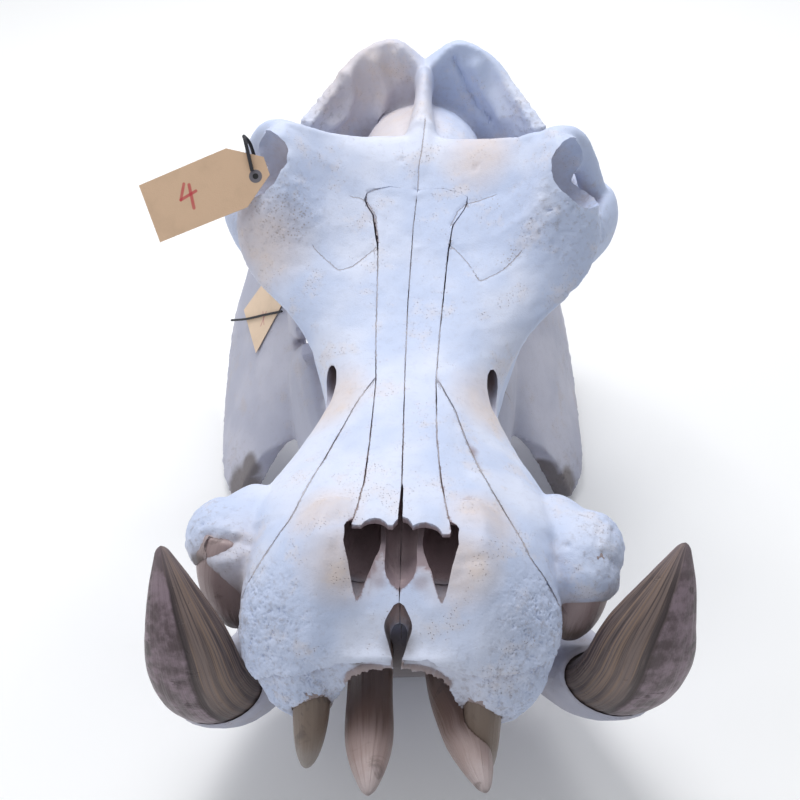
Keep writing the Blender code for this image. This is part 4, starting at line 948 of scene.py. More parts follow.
def read_skin(body):
    """Points in centimetres and outward directions of a mesh."""
    mesh = body.data
    points = np.empty(len(mesh.vertices) * 3)
    mesh.vertices.foreach_get("co", points)
    out = np.empty(len(mesh.vertices) * 3)
    mesh.vertex_normals.foreach_get("vector", out)
    return points.reshape(-1, 3) / CM, out.reshape(-1, 3)


def write_skin(body, points):
    """Put moved points back."""
    body.data.vertices.foreach_set("co", (points * CM).ravel())
    body.data.update()


def away_from(points, line, flat=False):
    """Distance of each point from a broken line, and on which side of it the point lies."""
    line = np.array(line, float)
    used = 2 if flat else 3
    best = np.full(len(points), 1e9)
    side = np.ones(len(points))
    for start, end in zip(line[:-1, :used], line[1:, :used]):
        way = end - start
        offset = points[:, :used] - start
        along = np.clip(offset @ way / max(way @ way, 1e-9), 0.0, 1.0)
        gap = np.linalg.norm(offset - along[:, None] * way, axis=1)
        nearer = gap < best
        best = np.where(nearer, gap, best)
        turn = way[0] * offset[:, 1] - way[1] * offset[:, 0]
        side = np.where(nearer, np.sign(turn), side)
    return best, side


def rough_skin(points, scale, seed=0.0):
    """Noise from -1 to 1 at each point, with bumps about 1 / scale centimetres wide."""
    shift = Vector((seed, seed * 0.7, -seed))
    return np.array([noise.noise(Vector(point) * scale + shift) for point in points])


# %% [markdown]
# The strokes follow the photograph: cracks and seams on the forehead, the step across each front
# lobe, the soft lips of the nose, ridges and folds inside the neck shield, and the eye rims.

# %% Seams, cracks and steps
LACRIMAL_SEAMS = (
    ((-10.12, 42.13), (-9.0, 41.43), (-7.57, 40.56), (-6.33, 41.19), (-5.41, 42.19), (-4.2, 43.4)),
    ((3.4, 44.0), (4.09, 43.42), (5.01, 42.3), (6.32, 40.02), (7.48, 40.46), (8.54, 40.91),
     (10.25, 42.18)),
)
FOREHEAD_SEAMS = (
    ((-6.9, 47.54), (-6.12, 47.8), (-5.21, 47.77), (-4.25, 46.61), (-3.92, 44.21)),
    ((7.61, 47.77), (6.64, 47.82), (5.76, 47.79), (4.77, 47.83), (3.98, 47.34), (3.32, 46.07)),
    ((0.36, 56.5), (0.13, 53.11), (-0.12, 51.74), (-0.15, 49.6)),
)
LOBE_STEPS = (
    ((-12.9, 3.2, 21.6), (-11.65, 1.05, 22.06), (-9.4, 0.17, 23.57), (-6.97, 0.32, 24.05),
     (-4.95, 0.5, 24.85), (-3.0, 0.57, 25.6)),
    ((2.4, 0.64, 25.9), (3.81, 0.53, 25.22), (5.03, 0.49, 24.56), (6.63, 0.44, 24.19),
     (8.21, 0.35, 24.42), (10.63, 1.29, 24.33), (12.76, 3.09, 23.75)),
)
NECK_CRACK = ((3.25, 66.34, 44.01), (4.07, 66.16, 42.35), (4.56, 65.88, 40.71), (5.62, 65.44, 39.15),
              (7.33, 64.6, 37.81))
print(len(LACRIMAL_SEAMS) + len(FOREHEAD_SEAMS), "seams besides those between the bones")

# %% [markdown]
# Stains, warm patches and pits are points with a reach. Many lie on both sides of the skull, so a
# helper mirrors them, and the same helper mirrors a stroke.

# %% Spots
def mirrored(points):
    """Points, or spots, on the other side of the skull."""
    return tuple((-x, *rest) for x, *rest in points)


# Dark patches by the hooks of the jaw, at its chin and over the lower incisors: painted shade by the hooks
# and in recesses, partly stain
STAINS_AND_SHADE = ((-20.0, 40.4, 3.2, 2.6), (-19.0, 41.0, 6.2, 1.6), (16.9, 42.8, 2.6, 2.4), (15.2, 43.2, 5.0, 1.5),
          (0.2, 2.6, 24.9, 1.9), (-3.3, 1.6, 25.0, 0.9), (3.1, 1.8, 25.0, 0.9), (0.0, 9.6, 12.0, 4.2),
          (-17.6, 9.6, 25.4, 1.2))
# Cream and pinkish bone by the nose and the eyes, and pinkish painted warm light on the right of the neck
# shield
WARM_PAIRS = ((4.6, 6.0, 31.0, 2.6), (6.4, 10.5, 31.2, 2.4), (7.4, 27.6, 29.0, 3.0))
WARM = WARM_PAIRS + mirrored(WARM_PAIRS) + (
    (-7.0, 65.0, 42.0, 5.5), (-4.0, 61.0, 40.5, 4.5), (-14.0, 11.0, 23.8, 3.4), (-15, 43, 36, 3.5),
    (6.0, 52.0, 41.0, 3.0))
# Slopes before the nose that lie in its shade
SHADED = ((2.1, 8.2, 31.0, 0.9), (1.9, 6.8, 30.2, 0.9), (1.6, 5.4, 29.6, 0.8))
NOSE_SHADE = SHADED + mirrored(SHADED)
# The inner faces of the neck shield, where most of the painted shade and dirt of the hollows is taken off
NECK_SHADE_LIFTED = ((-6.5, 60.0, 42.0, 5.5), (6.0, 61.0, 42.0, 5.5))
# Deep in the slit, a paler pinkish painted shade in place of the darker one of the hollows
SLIT_PALER_SHADE = ((0.0, 4.4, 27.6, 1.9), (0.0, 5.2, 25.0, 1.9))
# Brown specks on the cheeks and brow
SPECKLES = ((-12.7, 43.3, 38.3, 2.6), (-14.3, 44.2, 39.3, 1.8), (9.38, 42.3, 36.0, 0.9),
            (7.53, 46.9, 38.7, 0.8), (8.7, 41.5, 35.2, 0.9), (11.1, 2.8, 25.9, 0.55))
# Small round holes, which are carved too
PITS = ((17.86, 13.42, 27.67, 0.3), (13.78, 11.13, 28.14, 0.28), (5.68, 50.86, 40.17, 0.28),
        (-1.88, 52.23, 39.95, 0.2), (-7.59, 50.91, 41.17, 0.24), (-15.21, 12.85, 28.32, 0.24),
        (-14.66, 13.77, 28.24, 0.2), (-14.05, 10.92, 27.6, 0.24), (-13.02, 10.56, 27.17, 0.22),
        (-16.62, 11.1, 27.77, 0.26), (-17.2, 12.2, 27.9, 0.2))

# %% [markdown]
# A stroke is a line, its width and how deep it presses, or how high it lifts where that is
# negative. Around the nose the strokes press straight down, so that they don't widen its openings.

# %% Strokes around the nose
def on_both_sides(line, width, press):
    """A stroke and its mirror image."""
    return (line, width, press), (mirrored(line), width, press)


SINKS = (
    # soft lips beside the mouths of the nose passages
    *on_both_sides(((5.6, 8.8, 32.7), (5.0, 6.4, 31.9), (4.1, 4.6, 30.4)), 0.9, 0.25),
    # ridges from the waist down each lobe
    (((-7.0, 16, 30.6), (-7.8, 11, 31.2), (-8.4, 7, 30.8), (-9.4, 4, 28)), 1.5, -0.3),
    (((6.6, 15, 30.8), (7.6, 10, 31.4), (8.2, 6, 30.6), (9.0, 3.2, 28)), 1.5, -0.3),
    # the sunk floor before the nose, and the rims that run down beside its mouths
    (((-2.6, 3.4, 28.9), (2.6, 3.4, 28.9)), 2.4, 0.9),
    (((-2.6, 1.2, 26.4), (2.6, 1.2, 26.4)), 1.8, 0.3),
    *on_both_sides(((6.3, 11.5, 32.0), (6.6, 7.6, 31.9), (6.6, 4.8, 30.4), (6.6, 2.6, 28.4),
                    (6.8, 1.2, 26.6)), 1.2, -0.5),
)
print(len(SINKS), "strokes press down around the nose")

# %% [markdown]
# All other strokes press in along the skin's own direction, wherever it faces.

# %% Strokes elsewhere
STROKES = (
    # forehead: shallow dips beside the nose bones, raised brow edges
    *on_both_sides(((7, 44, 36.4), (9, 46.5, 39)), 3.0, 0.35),
    *on_both_sides(((13.4, 50.3, 44.8), (11.1, 51.4, 43.6), (7.8, 53.3, 41.8), (4, 55.6, 41.2),
                    (0.5, 56.5, 42)), 0.5, -0.22),
    # folds inside the neck shield
    (((-5.44, 66.4, 43.8), (-4.35, 65.9, 40.5), (-4.9, 65.4, 37.7)), 0.8, -0.8),
    (((-8.6, 65.0, 42.7), (-8.1, 64.7, 40.4), (-8.7, 63.9, 38.4), (-10.2, 62.5, 37.9)), 0.7, -0.7),
    (((5.6, 66.2, 43.4), (6.6, 65.4, 41.0), (8.6, 63.8, 38.6)), 0.9, -0.7),
    (((-3.0, 66.6, 44.6), (-2.6, 65.6, 42.2), (-4.4, 64.6, 40.2), (-7.0, 62.6, 38.6)), 0.7, -0.5),
    (((-1.6, 63.5, 41.8), (-3.4, 61.8, 40.4), (-5.6, 60.0, 39.0)), 0.6, 0.4),
    (((-2.2, 60.4, 41.2), (-4.6, 58.4, 40.2)), 0.6, -0.35),
    (((2.4, 65.6, 42.6), (3.2, 63.0, 40.9), (5.2, 60.4, 39.4), (7.6, 58.6, 38.0)), 0.5, 0.3),
    (NECK_CRACK, 0.26, 0.5),
    # the boss of each upper canine
    (((-16.6, 10.6, 28.0), (-17.8, 10.2, 26.4)), 0.8, 0.2),
    (((15.6, 10.0, 27.6), (17.4, 10.6, 26.6)), 0.8, 0.2),
)
print(len(STROKES), "strokes press in elsewhere")

# %% [markdown]
# Roughness comes in three sizes: long swells all over, a finer grain, and a coarse crust where
# muscle and gristle held on, at the edges of the lobes, the bosses, the eye rims and the jaw hooks.

# %% Carving
CRANIUM_CRUSTS = ((11.5, 3.5, 25.5, 4.2), (8, 0.6, 21, 4.5), (17.5, 12, 26.5, 3.4), (14, 44, 39, 3.6),
                  (16, 47, 36, 3.0), (11, 61, 41, 3.4), (18, 60, 32, 3.0))
JAW_CRUSTS = ((-20, 44, 2, 4.0), (17, 44, 2, 4.0), (-20, 62, 6, 5.0), (19, 62, 6, 5.0))
CRUSTS = CRANIUM_CRUSTS + mirrored(CRANIUM_CRUSTS) + JAW_CRUSTS


def spots_at(points, spots):
    """How near each point lies to the spots, from 0 to 1."""
    amount = np.zeros(len(points))
    for x, y, z, reach in spots:
        gap = np.linalg.norm(points - (x, y, z), axis=1)
        amount = np.maximum(amount, np.clip(1.6 - gap / reach, 0.0, 1.0))
    return amount


def press_of(points, line, width, press):
    """How deep a stroke presses at each point, in centimetres."""
    return press * np.exp(-(away_from(points, line)[0] / width) ** 2)


def step_of(points, line, wave):
    """How deep the bone steps down below a line across a front lobe, with a lip above it."""
    gap, _ = away_from(points, line)
    across, _, height = zip(*sorted(line))
    lower = np.interp(points[:, 0], across, height) + wave - points[:, 2]
    step = 0.34 * np.clip(lower / 0.16, 0.0, 1.0) * np.clip(1.6 - gap / 2.0, 0.0, 1.0)
    return step - 0.14 * np.exp(-(gap / 0.7) ** 2) * (lower < 0.0)


def marks_of(points, out):
    """How deep every stroke, seam, step and pit presses in."""
    depth = sum(press_of(points, *stroke) for stroke in STROKES)
    for line in LACRIMAL_SEAMS + FOREHEAD_SEAMS:
        gap, _ = away_from(points, line, flat=True)
        depth += 0.09 * np.exp(-(gap / 0.2) ** 2) * (out[:, 2] > 0.2)
    wave = 0.25 * rough_skin(points, 0.8, 23.0)
    for line in LOBE_STEPS:
        depth += step_of(points, line, wave)
    for x, y, z, reach in PITS:
        depth += 0.3 * np.exp(-(np.linalg.norm(points - (x, y, z), axis=1) / reach) ** 2)
    return depth


def carve(body, marked=True):
    """Press the roughness into a bone, and every mark too where it is marked."""
    points, out = read_skin(body)
    depth = np.zeros(len(points))
    if marked:
        depth = marks_of(points, out)
        points[:, 2] -= sum(press_of(points, *stroke) for stroke in SINKS)
    depth += 0.08 * rough_skin(points, 0.22, 3.0) + 0.04 * rough_skin(points, 0.9, 7.0)
    coarse, grain = rough_skin(points, 1.3, 11.0), rough_skin(points, 5.0, 17.0)
    pitted = np.clip(grain - 0.1, 0.0, 1.0) * np.clip(coarse + 0.4, 0.0, 1.0)
    depth += spots_at(points, CRUSTS) * (0.11 * coarse + 0.06 * grain + 0.26 * pitted)
    points -= out * depth[:, None]
    write_skin(body, points)


BONES = ("cranium", "nasal_left", "nasal_right", "premaxilla_left", "premaxilla_right", "mandible")
# The two large bones are thinned to this many triangles, and the small ones are split instead
MOST_FACES = {"cranium": 165000, "mandible": 120000}
for name in BONES:
    if name in MOST_FACES:
        thin_out(parts[name], MOST_FACES[name])
    else:
        split_faces(parts[name])
    carve(parts[name], marked=name != "mandible")
    print(name, len(parts[name].data.polygons), "faces")

# %% [markdown]
# ## What the finish needs to know
# Hollows are painted darker, both as painted shade and as the dirt that stays where a brush doesn't reach.
# For every point of a bone, rays are sent out in a fixed set of directions, and the share that hits bone
# nearby is kept on the mesh as how hollow it lies.
# The distance to the nearest seam is kept too, with its side, so the finish can draw a thin line.

# %% Hollows
GOLDEN_TURN = 2.39996


def rays_around(count=9):
    """Directions spread over a half ball."""
    turns = np.arange(count) * GOLDEN_TURN
    rise = (np.arange(count) + 0.5) / count
    flat = np.sqrt(1 - rise**2)
    return np.stack([flat * np.cos(turns), flat * np.sin(turns), rise], 1)


def shell_of(bodies):
    """One search tree over several bodies, in centimetres."""
    verts, faces = [], []
    for body in bodies:
        start = len(verts)
        verts += [vert.co / CM for vert in body.data.vertices]
        faces += [[start + i for i in poly.vertices] for poly in body.data.polygons]
    return BVHTree.FromPolygons(verts, faces)


def measure_hollows(body, shell, reach=5.0):
    """Share of the sky that bone hides within reach, at each point."""
    points, out = read_skin(body)
    spread = rays_around()
    hidden = np.zeros(len(points))
    for index, (point, normal) in enumerate(zip(points, out)):
        normal = Vector(normal)
        turn = normal.to_track_quat("Z", "Y").to_matrix()
        start = Vector(point) + normal * 0.08
        hits = sum(1 for ray in spread if shell.ray_cast(start, turn @ Vector(ray), reach)[0])
        hidden[index] = hits / len(spread)
    return hidden


def keep_measure(body, name, values):
    """Store one number at each point of a mesh."""
    kept = body.data.attributes.new(name, "FLOAT", "POINT")
    kept.data.foreach_set("value", np.asarray(values, np.float32))


def even_out(body, values, rounds=3):
    """Average a measure with its neighbours."""
    edges = np.empty(len(body.data.edges) * 2, int)
    body.data.edges.foreach_get("vertices", edges)
    a, b = edges.reshape(-1, 2).T
    count = np.bincount(a, minlength=len(values)) + np.bincount(b, minlength=len(values)) + 1.0
    for _ in range(rounds):
        total = values + np.bincount(a, values[b], len(values))
        total += np.bincount(b, values[a], len(values))
        values = total / count
    return values


# %% [markdown]
# The finish also needs to know where the seams run and which bone lies inside the nose, where no
# light falls. Both are worked out from the lines and tubes that shaped them.

# %% Seams and nose
def seam_lines():
    """Every seam seen from above, with how wide it is drawn, in centimetres."""
    along = np.arange(10.2, 49.0, 0.5)
    lines = [([(MIDDLE(y), y) for y in along], 0.05)]
    for edges, sign in ((NOSE_EDGES[0], 1), (NOSE_EDGES[1], -1)):
        edge = read_keys(edges)
        lines.append(([(sign * edge(y), y) for y in np.arange(9.8, 47.5, 0.5)], 0.055))
    for edges, sign in ((LOBE_EDGES[0], 1), (LOBE_EDGES[1], -1)):
        edge = read_keys(edges)
        lines.append(([(sign * edge(y), y) for y in np.arange(6.4, 28.8, 0.4)], 0.085))
    lines += [(line, 0.05) for line in LACRIMAL_SEAMS + FOREHEAD_SEAMS]
    return lines


# Middle lines of the dark spaces in the nose, as points with a radius
PASSAGE = ((3.4, 4.1, 29.2, 0.5), (3.4, 6, 30.6, 1.0), (3.5, 8.2, 31, 2), (3.4, 10.4, 30, 2.2),
           (3.2, 20, 27.8, 2.4))
TROUGH = ((0, 5.4, 30.2, 0.8), (0, 8.4, 29.8, 1.35), (0, 14, 29, 1.8), (0, 20, 29, 1.8))


def nose_dark(points):
    """How far inside the nose each point lies, from 0 to 1."""
    dark = np.zeros(len(points))
    for keys in (PASSAGE, mirrored(PASSAGE), TROUGH):
        for (x, y, z, r), (x2, y2, z2, r2) in zip(keys[:-1], keys[1:]):
            for share in np.linspace(0, 1, 6):
                centre = np.array((x, y, z)) * (1 - share) + np.array((x2, y2, z2)) * share
                reach = r * (1 - share) + r2 * share
                gap = np.linalg.norm(points - centre, axis=1)
                dark = np.maximum(dark, np.clip((reach * 1.6 + 0.6 - gap) / 0.5, 0.0, 1.0))
    return dark


FAR = 9.0


def measure_bone(body, shell):
    """Keep every measure that the bone finish reads."""
    points, out = read_skin(body)
    near = np.full(len(points), FAR)
    seam = np.full(len(points), FAR)
    for line, width in seam_lines():
        gap, side = away_from(points, line, flat=True)
        closer = gap < near
        near = np.where(closer, gap, near)
        seam = np.where(closer, gap * side / width, seam)
    hollow = even_out(body, measure_hollows(body, shell))
    # Most of the painted shade and dirt is taken off the inner faces of the neck shield.
    hollow = hollow * (1.0 - 0.95 * spots_at(points, NECK_SHADE_LIFTED))
    keep_measure(body, "hollow", hollow)
    top = (out[:, 2] > 0.15) & (hollow < 0.45)
    keep_measure(body, "seam", np.where(top, seam, FAR))
    keep_measure(body, "near", np.where(top, near, FAR))
    # Painted shade: inside the nose, where the bone lies hollow, and on the slopes before it.
    nose = nose_dark(points) * np.clip((hollow - 0.1) / 0.25, 0.0, 1.0)
    nose = np.maximum(nose, 0.5 * spots_at(points, NOSE_SHADE))
    keep_measure(body, "nose", even_out(body, nose, 2))
    for name, spots in (("crust", CRUSTS), ("speck", SPECKLES), ("stain", STAINS_AND_SHADE), ("warm", WARM),
                        ("slit", SLIT_PALER_SHADE)):
        keep_measure(body, name, spots_at(points, spots))


shell = shell_of(list(parts.values()))
for name in BONES:
    measure_bone(parts[name], shell)
print("measured", len(BONES), "bones")

# %% [markdown]
# The bones are finished as shapes, and now move to where the part stands.

# %% To the part's place
for body in parts.values():
    body.data.transform(Matrix.Translation(SHIFT))

# %% [markdown]
# ## Finishes
# A finish is written as arithmetic on surfaces: the class below wraps one socket of the shader
# board, and its operators add the maths nodes, so a mask can be written as 1 - mask. Every other
# node comes from one method that takes its type, its settings and what feeds it.

# %% Shader maths
class Wire:
    """A socket of a shader board that takes part in sums."""

    def __init__(self, finish, socket):
        self.finish = finish
        self.socket = socket

    def maths(self, operation, *others):
        """One maths node, fed by this wire and the others."""
        return self.finish.node("ShaderNodeMath", {"operation": operation}, self, *others)

    def __add__(self, other):
        return self.maths("ADD", other)

    def __mul__(self, other):
        return self.maths("MULTIPLY", other)

    def __sub__(self, other):
        return self.maths("SUBTRACT", other)

    def __truediv__(self, other):
        return self.maths("DIVIDE", other)

    def __rsub__(self, other):
        return self.finish.node("ShaderNodeMath", {"operation": "SUBTRACT"}, other, self)

    def __abs__(self):
        return self.maths("ABSOLUTE")

    __radd__ = __add__
    __rmul__ = __mul__

    def ramp(self, low, high):
        """0 below low, 1 above high, smooth between. It falls instead where low is above high."""
        if low > high:
            return 1 - self.ramp(high, low)
        settings = {"interpolation_type": "SMOOTHSTEP"}
        return self.finish.node("ShaderNodeMapRange", settings, self, low, high, 0.0, 1.0)


# %% [markdown]
# A finish is one material. It hands out noise, measures and mixes as wires, and joins the result to
# its shader.

# %% A finish
class Finish:
    """A material with one shader, made for one piece."""

    def __init__(self, name, roughness=0.6):
        self.material = bpy.data.materials.new(name)
        self.material.use_nodes = True
        self.tree = self.material.node_tree
        self.shader = self.tree.nodes["Principled BSDF"]
        self.shader.inputs["Roughness"].default_value = roughness

    def feed(self, socket, value):
        """Join a wire to a socket, or set the socket's own number or colour."""
        if isinstance(value, Wire):
            self.tree.links.new(value.socket, socket)
        elif isinstance(value, tuple) and len(value) == 3 and socket.type == "RGBA":
            socket.default_value = value + (1.0,)
        else:
            socket.default_value = value

    def node(self, kind, settings=(), *values, out=0, **named):
        """A node with its settings, its inputs in order and its inputs by name."""
        made = self.tree.nodes.new(kind)
        for key, value in dict(settings).items():
            setattr(made, key, value)
        for index, value in enumerate(values):
            self.feed(made.inputs[index], value)
        for key, value in named.items():
            self.feed(made.inputs[key.replace("_", " ").title()], value)
        return Wire(self, made.outputs[out])

    def place(self):
        """The point on the object, in metres."""
        return self.node("ShaderNodeTexCoord", {}, out="Object")

    def measure(self, name):
        """A number that the mesh carries at its points."""
        return self.node("ShaderNodeAttribute", {"attribute_name": name}, out="Fac")

    def cloud(self, scale, detail=4.0, rough=0.55, where=None, warp=0.0):
        """Soft noise from 0 to 1, whose patches are about 1 / scale metres."""
        return self.node("ShaderNodeTexNoise", {}, vector=where or self.place(), scale=scale,
                         detail=detail, roughness=rough, distortion=warp)

    def cells(self, scale):
        """Distance to the nearest of scattered points."""
        return self.node("ShaderNodeTexVoronoi", {}, vector=self.place(), scale=scale, out="Distance")

    def mix(self, amount, under, over):
        """One colour laid over another by an amount."""
        made = self.tree.nodes.new("ShaderNodeMix")
        made.data_type = "RGBA"
        # A mix node has its colours in inputs 6 and 7 and in output 2
        self.feed(made.inputs[0], amount)
        self.feed(made.inputs[6], under)
        self.feed(made.inputs[7], over)
        return Wire(self, made.outputs[2])

    def paint(self, colour, roughness=None, height=None, depth=0.001):
        """Join the colour, the roughness and the relief to the shader."""
        self.feed(self.shader.inputs["Base Color"], colour)
        if roughness is not None:
            self.feed(self.shader.inputs["Roughness"], roughness)
        if height is not None:
            bump = self.tree.nodes.new("ShaderNodeBump")
            bump.inputs["Strength"].default_value = 1.0
            bump.inputs["Distance"].default_value = depth
            self.feed(bump.inputs["Height"], height)
            self.feed(self.shader.inputs["Normal"], Wire(self, bump.outputs["Normal"]))
        return self.material


# %% [markdown]
# Old museum bone is nearly white, here with a blue cast painted in for the cool skylight on it, cream or
# pinkish where grease stayed in it and pinkish as painted warm light on one side of the neck shield, grey
# and brown in hollows as painted shade and dirt, and dotted with fine pores. Seams are thin brown lines
# that wander.

# %% Bone
def bone_finish(name, cool=(0.54, 0.615, 0.81), white=(0.67, 0.715, 0.86), warm=(0.72, 0.65, 0.64)):
    """Bone in broad cool and white patches tinted blue by a painted cast of skylight, with painted shade
    and dirt in hollows, stains and painted shade in dark patches, pores and seams over it.
    """
    finish = Finish(name, 0.62)
    hollow, crust = finish.measure("hollow"), finish.measure("crust")
    broad = finish.cloud(7, 3, 0.6)
    patch = finish.cloud(30, 5, 0.65)
    fine = finish.cloud(170, 5, 0.65)
    grain = finish.cloud(900, 2, 0.5)
    # The cool and white patches are both tinted blue: a painted cast of cool skylight over cream-white
    # bone.
    colour = finish.mix(broad.ramp(0.42, 0.62), cool, white)
    colour = finish.mix(patch.ramp(0.52, 0.7) * 0.4, colour, warm)
    # Warm patches: cream bone by the nose and eyes, and painted warm light on one side of the neck shield.
    colour = finish.mix(finish.measure("warm") * (0.25 + patch * 0.6), colour, (0.70, 0.56, 0.47))
    colour = finish.mix(fine.ramp(0.5, 0.7) * (0.12 + crust * 0.42), colour, (0.33, 0.31, 0.34))
    # Painted shade in the hollows: grey-lavender where partly hidden, and brown where deepest, as painted
    # shade and settled dirt.
    deep = hollow + (fine - 0.5) * 0.3
    colour = finish.mix(deep.ramp(0.2, 0.6) * 0.55, colour, (0.42, 0.38, 0.42))
    colour = finish.mix(deep.ramp(0.5, 0.95) * 0.8, colour, (0.32, 0.235, 0.215))
    # Painted shade inside the nose and on the slopes before it, a paler brown where the hollow is deepest.
    nose = (finish.measure("nose") + (patch - 0.5) * 0.25).ramp(0.15, 0.8)
    nose_shade_colour = finish.mix(hollow.ramp(0.55, 0.9), (0.27, 0.195, 0.21), (0.55, 0.43, 0.45))
    colour = finish.mix(nose * 0.9, colour, nose_shade_colour)
    # Deep in the slit the painted shade is paler and pinkish.
    colour = finish.mix(finish.measure("slit") * hollow.ramp(0.55, 0.8), colour, (0.50, 0.38, 0.37))
    # Dark patches: painted shade by the jaw hooks and in recesses, partly stain.
    stain = (finish.measure("stain") + (patch - 0.5) * 0.6).ramp(0.3, 0.9)
    colour = finish.mix(stain * 0.8, colour, (0.12, 0.095, 0.085))
    pores = finish.cells(420).ramp(0.22, 0.1) * patch.ramp(0.5, 0.62)
    colour = finish.mix(pores * 0.5, colour, (0.25, 0.19, 0.17))
    speckled = (finish.measure("speck") + patch - 0.5).ramp(0.3, 0.9)
    specks = finish.cells(300).ramp(0.34, 0.16) * speckled
    colour = finish.mix(specks * 0.5, colour, (0.26, 0.19, 0.14))
    wander = (finish.cloud(400, 3, 0.6) - 0.5) * 5.0
    close = finish.measure("near").ramp(0.32, 0.2)
    seam = abs(finish.measure("seam") + wander).ramp(1.3, 0.6) * close
    colour = finish.mix(seam * (0.2 + patch * 0.5), colour, (0.38, 0.28, 0.22))
    height = fine * (0.35 + crust * 0.6) + grain * 0.25 - pores * 0.8 - seam
    return finish.paint(colour, None, height, 0.0009)


# %% [markdown]
# A lower tusk has a mottled band of enamel along its outer edge, crossed by fine cracks, and a
# worn inner side where tan, orange and dark stripes run with the curve. The finish reads how far
# along, across and around the tooth a point lies, which its points carry since they were made.

# %% Teeth
def streaks(finish, across, along, detail=5.0, shift=0.0):
    """Noise stretched along a tooth."""
    where = finish.node("ShaderNodeCombineXYZ", {}, finish.measure("across") * across,
                        finish.measure("along") * along + shift, finish.measure("side") * across)
    return finish.cloud(1.0, detail, 0.62, where)


def tusk_finish(name):
    """Striped dark ivory inside and a mottled, cracked band of enamel outside."""
    finish = Finish(name, 0.38)
    along, across = finish.measure("along"), finish.measure("across")
    mottle = finish.cloud(55, 5, 0.65)
    broad_stripes, fine_stripes = streaks(finish, 5, 1.6), streaks(finish, 16, 2.2, 3.0, 4.0)
    inside = finish.mix(broad_stripes.ramp(0.42, 0.6), (0.07, 0.05, 0.052), (0.21, 0.155, 0.14))
    inside = finish.mix(fine_stripes.ramp(0.52, 0.66) * 0.7, inside, (0.30, 0.20, 0.14))
    inside = finish.mix(fine_stripes.ramp(0.46, 0.34) * 0.8, inside, (0.045, 0.032, 0.034))
    inside = finish.mix(along.ramp(0.62, 0.42) * 0.6, inside, (0.05, 0.035, 0.036))
    band = finish.mix(mottle.ramp(0.36, 0.66), (0.095, 0.065, 0.072), (0.27, 0.20, 0.235))
    cracks = streaks(finish, 2.2, 46, 3.0).ramp(0.6, 0.68) * finish.cloud(30, 2).ramp(0.45, 0.6)
    band = finish.mix(cracks * 0.55, band, (0.055, 0.035, 0.04))
    spots = across.ramp(0.72, 0.9) * finish.cloud(90, 3, 0.6).ramp(0.55, 0.62)
    band = finish.mix(spots * 0.8, band, (0.04, 0.03, 0.03))
    edge = across + (mottle - 0.5) * 0.25 + (broad_stripes - 0.5) * 0.35
    outer = edge.ramp(-0.1, 0.02)
    rim = abs(edge + 0.06).ramp(0.12, 0.02) * along.ramp(0.95, 0.8)
    colour = finish.mix(rim * 0.5, finish.mix(outer, inside, band), (0.045, 0.03, 0.03))
    colour = finish.mix(along.ramp(0.86, 1.0) * 0.35, colour, (0.36, 0.29, 0.31))
    height = mottle * 0.5 * outer + fine_stripes * 0.7 - cracks * 0.6
    return finish.paint(colour, 0.3 + mottle * 0.25, height, 0.0012)


def incisor_finish(name, root, body, tip):
    """Smooth ivory that darkens toward its root, with faint stripes along it."""
    finish = Finish(name, 0.35)
    along = finish.measure("along")
    stripes, mottle = streaks(finish, 9, 1.5), finish.cloud(60, 5, 0.62)
    colour = finish.mix((along + (stripes - 0.5) * 0.3).ramp(0.52, 0.72), root, body)
    colour = finish.mix((along + (mottle - 0.5) * 0.3).ramp(0.78, 1.0), colour, tip)
    colour = finish.mix(stripes.ramp(0.5, 0.7) * 0.4, colour, root)
    stains = finish.cloud(35, 4, 0.6, warp=0.8).ramp(0.58, 0.68)
    colour = finish.mix(stains * 0.5, colour, (0.06, 0.04, 0.035))
    return finish.paint(colour, 0.28 + mottle * 0.25, stripes + mottle * 0.4, 0.0009)


# %% [markdown]
# The cards are plain stiff paper. The pen marks are strokes between two points of a card, read
# in centimetres along it and up it; the first card has a grey ring around its hole.

# %% Paper and cord
def paper_finish(name, colour, corners, body, strokes, ink, ring=None):
    """Card with pen strokes, and with a ring around its hole where one is given."""
    finish = Finish(name, 0.85)
    start, right, up = (Vector(corners[i]) * CM + SHIFT for i in (0, 1, 3))
    back = body.matrix_world.inverted()
    start, right, up = back @ start, back @ right, back @ up
    along = (right - start).normalized()
    rise = (right - start).cross(up - start).cross(along).normalized()
    place = finish.place()
    dot = {"operation": "DOT_PRODUCT"}
    u, v = ((finish.node("ShaderNodeVectorMath", dot, place, tuple(axis), out="Value")
             - float(start @ axis)) * 100.0 for axis in (along, rise))
    fibre, soft = finish.cloud(700, 4, 0.6), finish.cloud(40, 3, 0.6)
    look = finish.mix(soft.ramp(0.4, 0.8) * 0.5, colour, tuple(value * 0.82 for value in colour))
    if ring:
        gap = ((u - ring[0]) * (u - ring[0]) + (v - ring[1]) * (v - ring[1])).maths("SQRT")
        look = finish.mix(gap.ramp(ring[2] * 1.08, ring[2]), look, (0.16, 0.15, 0.17))
        look = finish.mix(gap.ramp(ring[2] * 0.5, ring[2] * 0.42), look, (0.02, 0.02, 0.02))
    for (u1, v1), (u2, v2), width in strokes:
        du, dv = u2 - u1, v2 - v1
        share = ((u - u1) * du + (v - v1) * dv) / (du * du + dv * dv)
        share = share.maths("MINIMUM", 1.0).maths("MAXIMUM", 0.0)
        off_u, off_v = u - u1 - share * du, v - v1 - share * dv
        gap = (off_u * off_u + off_v * off_v).maths("SQRT")
        look = finish.mix(gap.ramp(width, width * 0.5) * (0.55 + soft * 0.4), look, ink)
    return finish.paint(look, None, fibre, 0.0002)


def cord_finish(name):
    """Black fibre, a little paler in places."""
    finish = Finish(name, 0.7)
    fibre = finish.cloud(1500, 3, 0.6)
    colour = finish.mix(fibre, (0.008, 0.008, 0.012), (0.04, 0.04, 0.05))
    return finish.paint(colour, None, fibre, 0.0004)


# %% [markdown]
# With the finishes ready, each kind of bone, tooth, card and cord gets colours of its own.

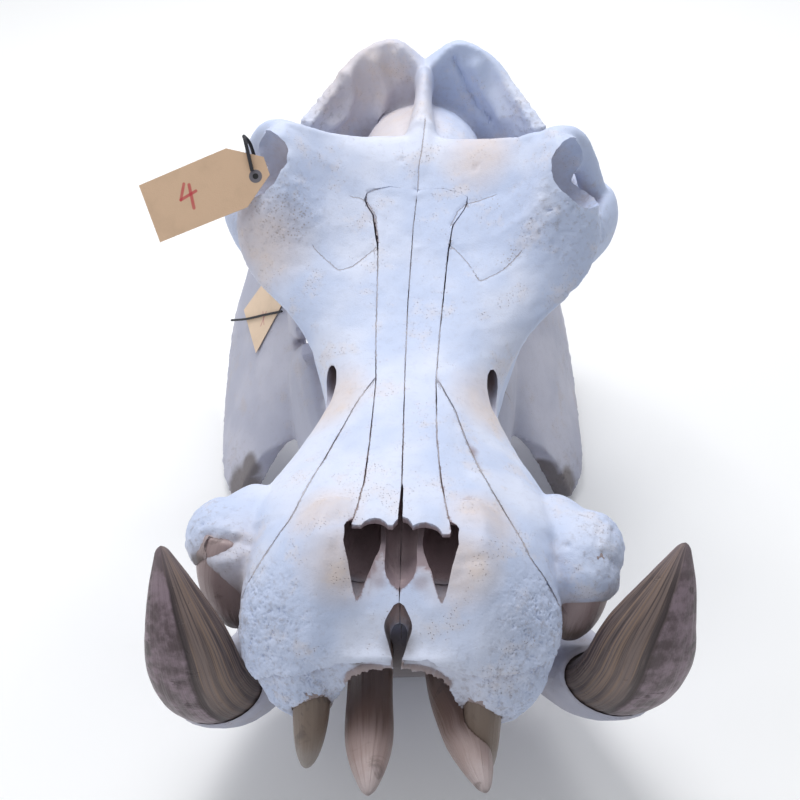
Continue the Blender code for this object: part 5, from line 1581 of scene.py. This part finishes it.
# %% Every finish
# Pen strokes as their two ends and a width, and the ring as its place and radius
PEN_4 = (((4.39, 4.42), (3.53, 3.08), 0.2), ((3.53, 3.08), (5.28, 3.34), 0.2),
         ((4.85, 4.15), (4.48, 1.87), 0.22))
PEN_STROKE = (((2.6, 1.9), (4.4, 2.3), 0.12), ((3.2, 1.4), (3.9, 3.0), 0.1))
HOLE_RING = (11.35, 2.5, 0.62)
finishes = {
    "bone": bone_finish("museum_bone"),
    # The jaw takes a darker, greyer copy of the bone: a shaded copy of the same material, painted for the
    # shade the jaw lies in under the cranium.
    "jaw": bone_finish("jaw_bone", (0.43, 0.44, 0.54), (0.53, 0.53, 0.62), (0.50, 0.45, 0.46)),
    "tusk": tusk_finish("tusk_ivory"),
    "lower_incisor": incisor_finish("incisor_ivory", (0.17, 0.105, 0.085), (0.34, 0.255, 0.24),
                                    (0.42, 0.35, 0.35)),
    "peg": incisor_finish("peg_ivory", (0.20, 0.15, 0.12), (0.26, 0.22, 0.20), (0.33, 0.30, 0.29)),
    "canine": incisor_finish("canine_ivory", (0.36, 0.27, 0.27), (0.13, 0.09, 0.075),
                             (0.08, 0.06, 0.05)),
    "tag_1": paper_finish("manila_card", (0.66, 0.46, 0.31), TAG_1, nodes["tag_1"], PEN_4,
                          (0.50, 0.04, 0.06), HOLE_RING),
    "tag_2": paper_finish("cream_card", (0.80, 0.62, 0.46), TAG_2, nodes["tag_2"], PEN_STROKE,
                          (0.55, 0.2, 0.2)),
    "cord": cord_finish("black_cord"),
}
print(len(finishes), "finishes")

# %% [markdown]
# Each piece takes its finish, rides on the one body there is, and stands for its node. The cards are
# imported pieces, which only change their paper.

# %% Dressing the pieces
KINDS = (("mandible", "jaw"), ("tusk", "tusk"), ("lower_incisor", "lower_incisor"), ("incisor", "peg"),
         ("canine", "canine"), ("", "bone"))


def stand_for(body, node):
    """Let a piece ride on the skull and take a node's place."""
    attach(body, "root")
    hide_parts(node)


for name, body in parts.items():
    kind = next(finish for word, finish in KINDS if word in name)
    body.data.materials.clear()
    body.data.materials.append(finishes[kind])
    body.data.shade_smooth()
    body.data.set_sharp_from_angle(angle=math.radians(50))
    stand_for(body, name)
for name in ("tag_1", "tag_2"):
    for slot in nodes[name].material_slots:
        slot.material = finishes[name]
for body, name in ((cord_1, "tag_1_string"), (cord_2, "tag_2_string")):
    body.data.materials.append(finishes["cord"])
    stand_for(body, name)
print(len(parts) + 2, "pieces stand for their nodes")
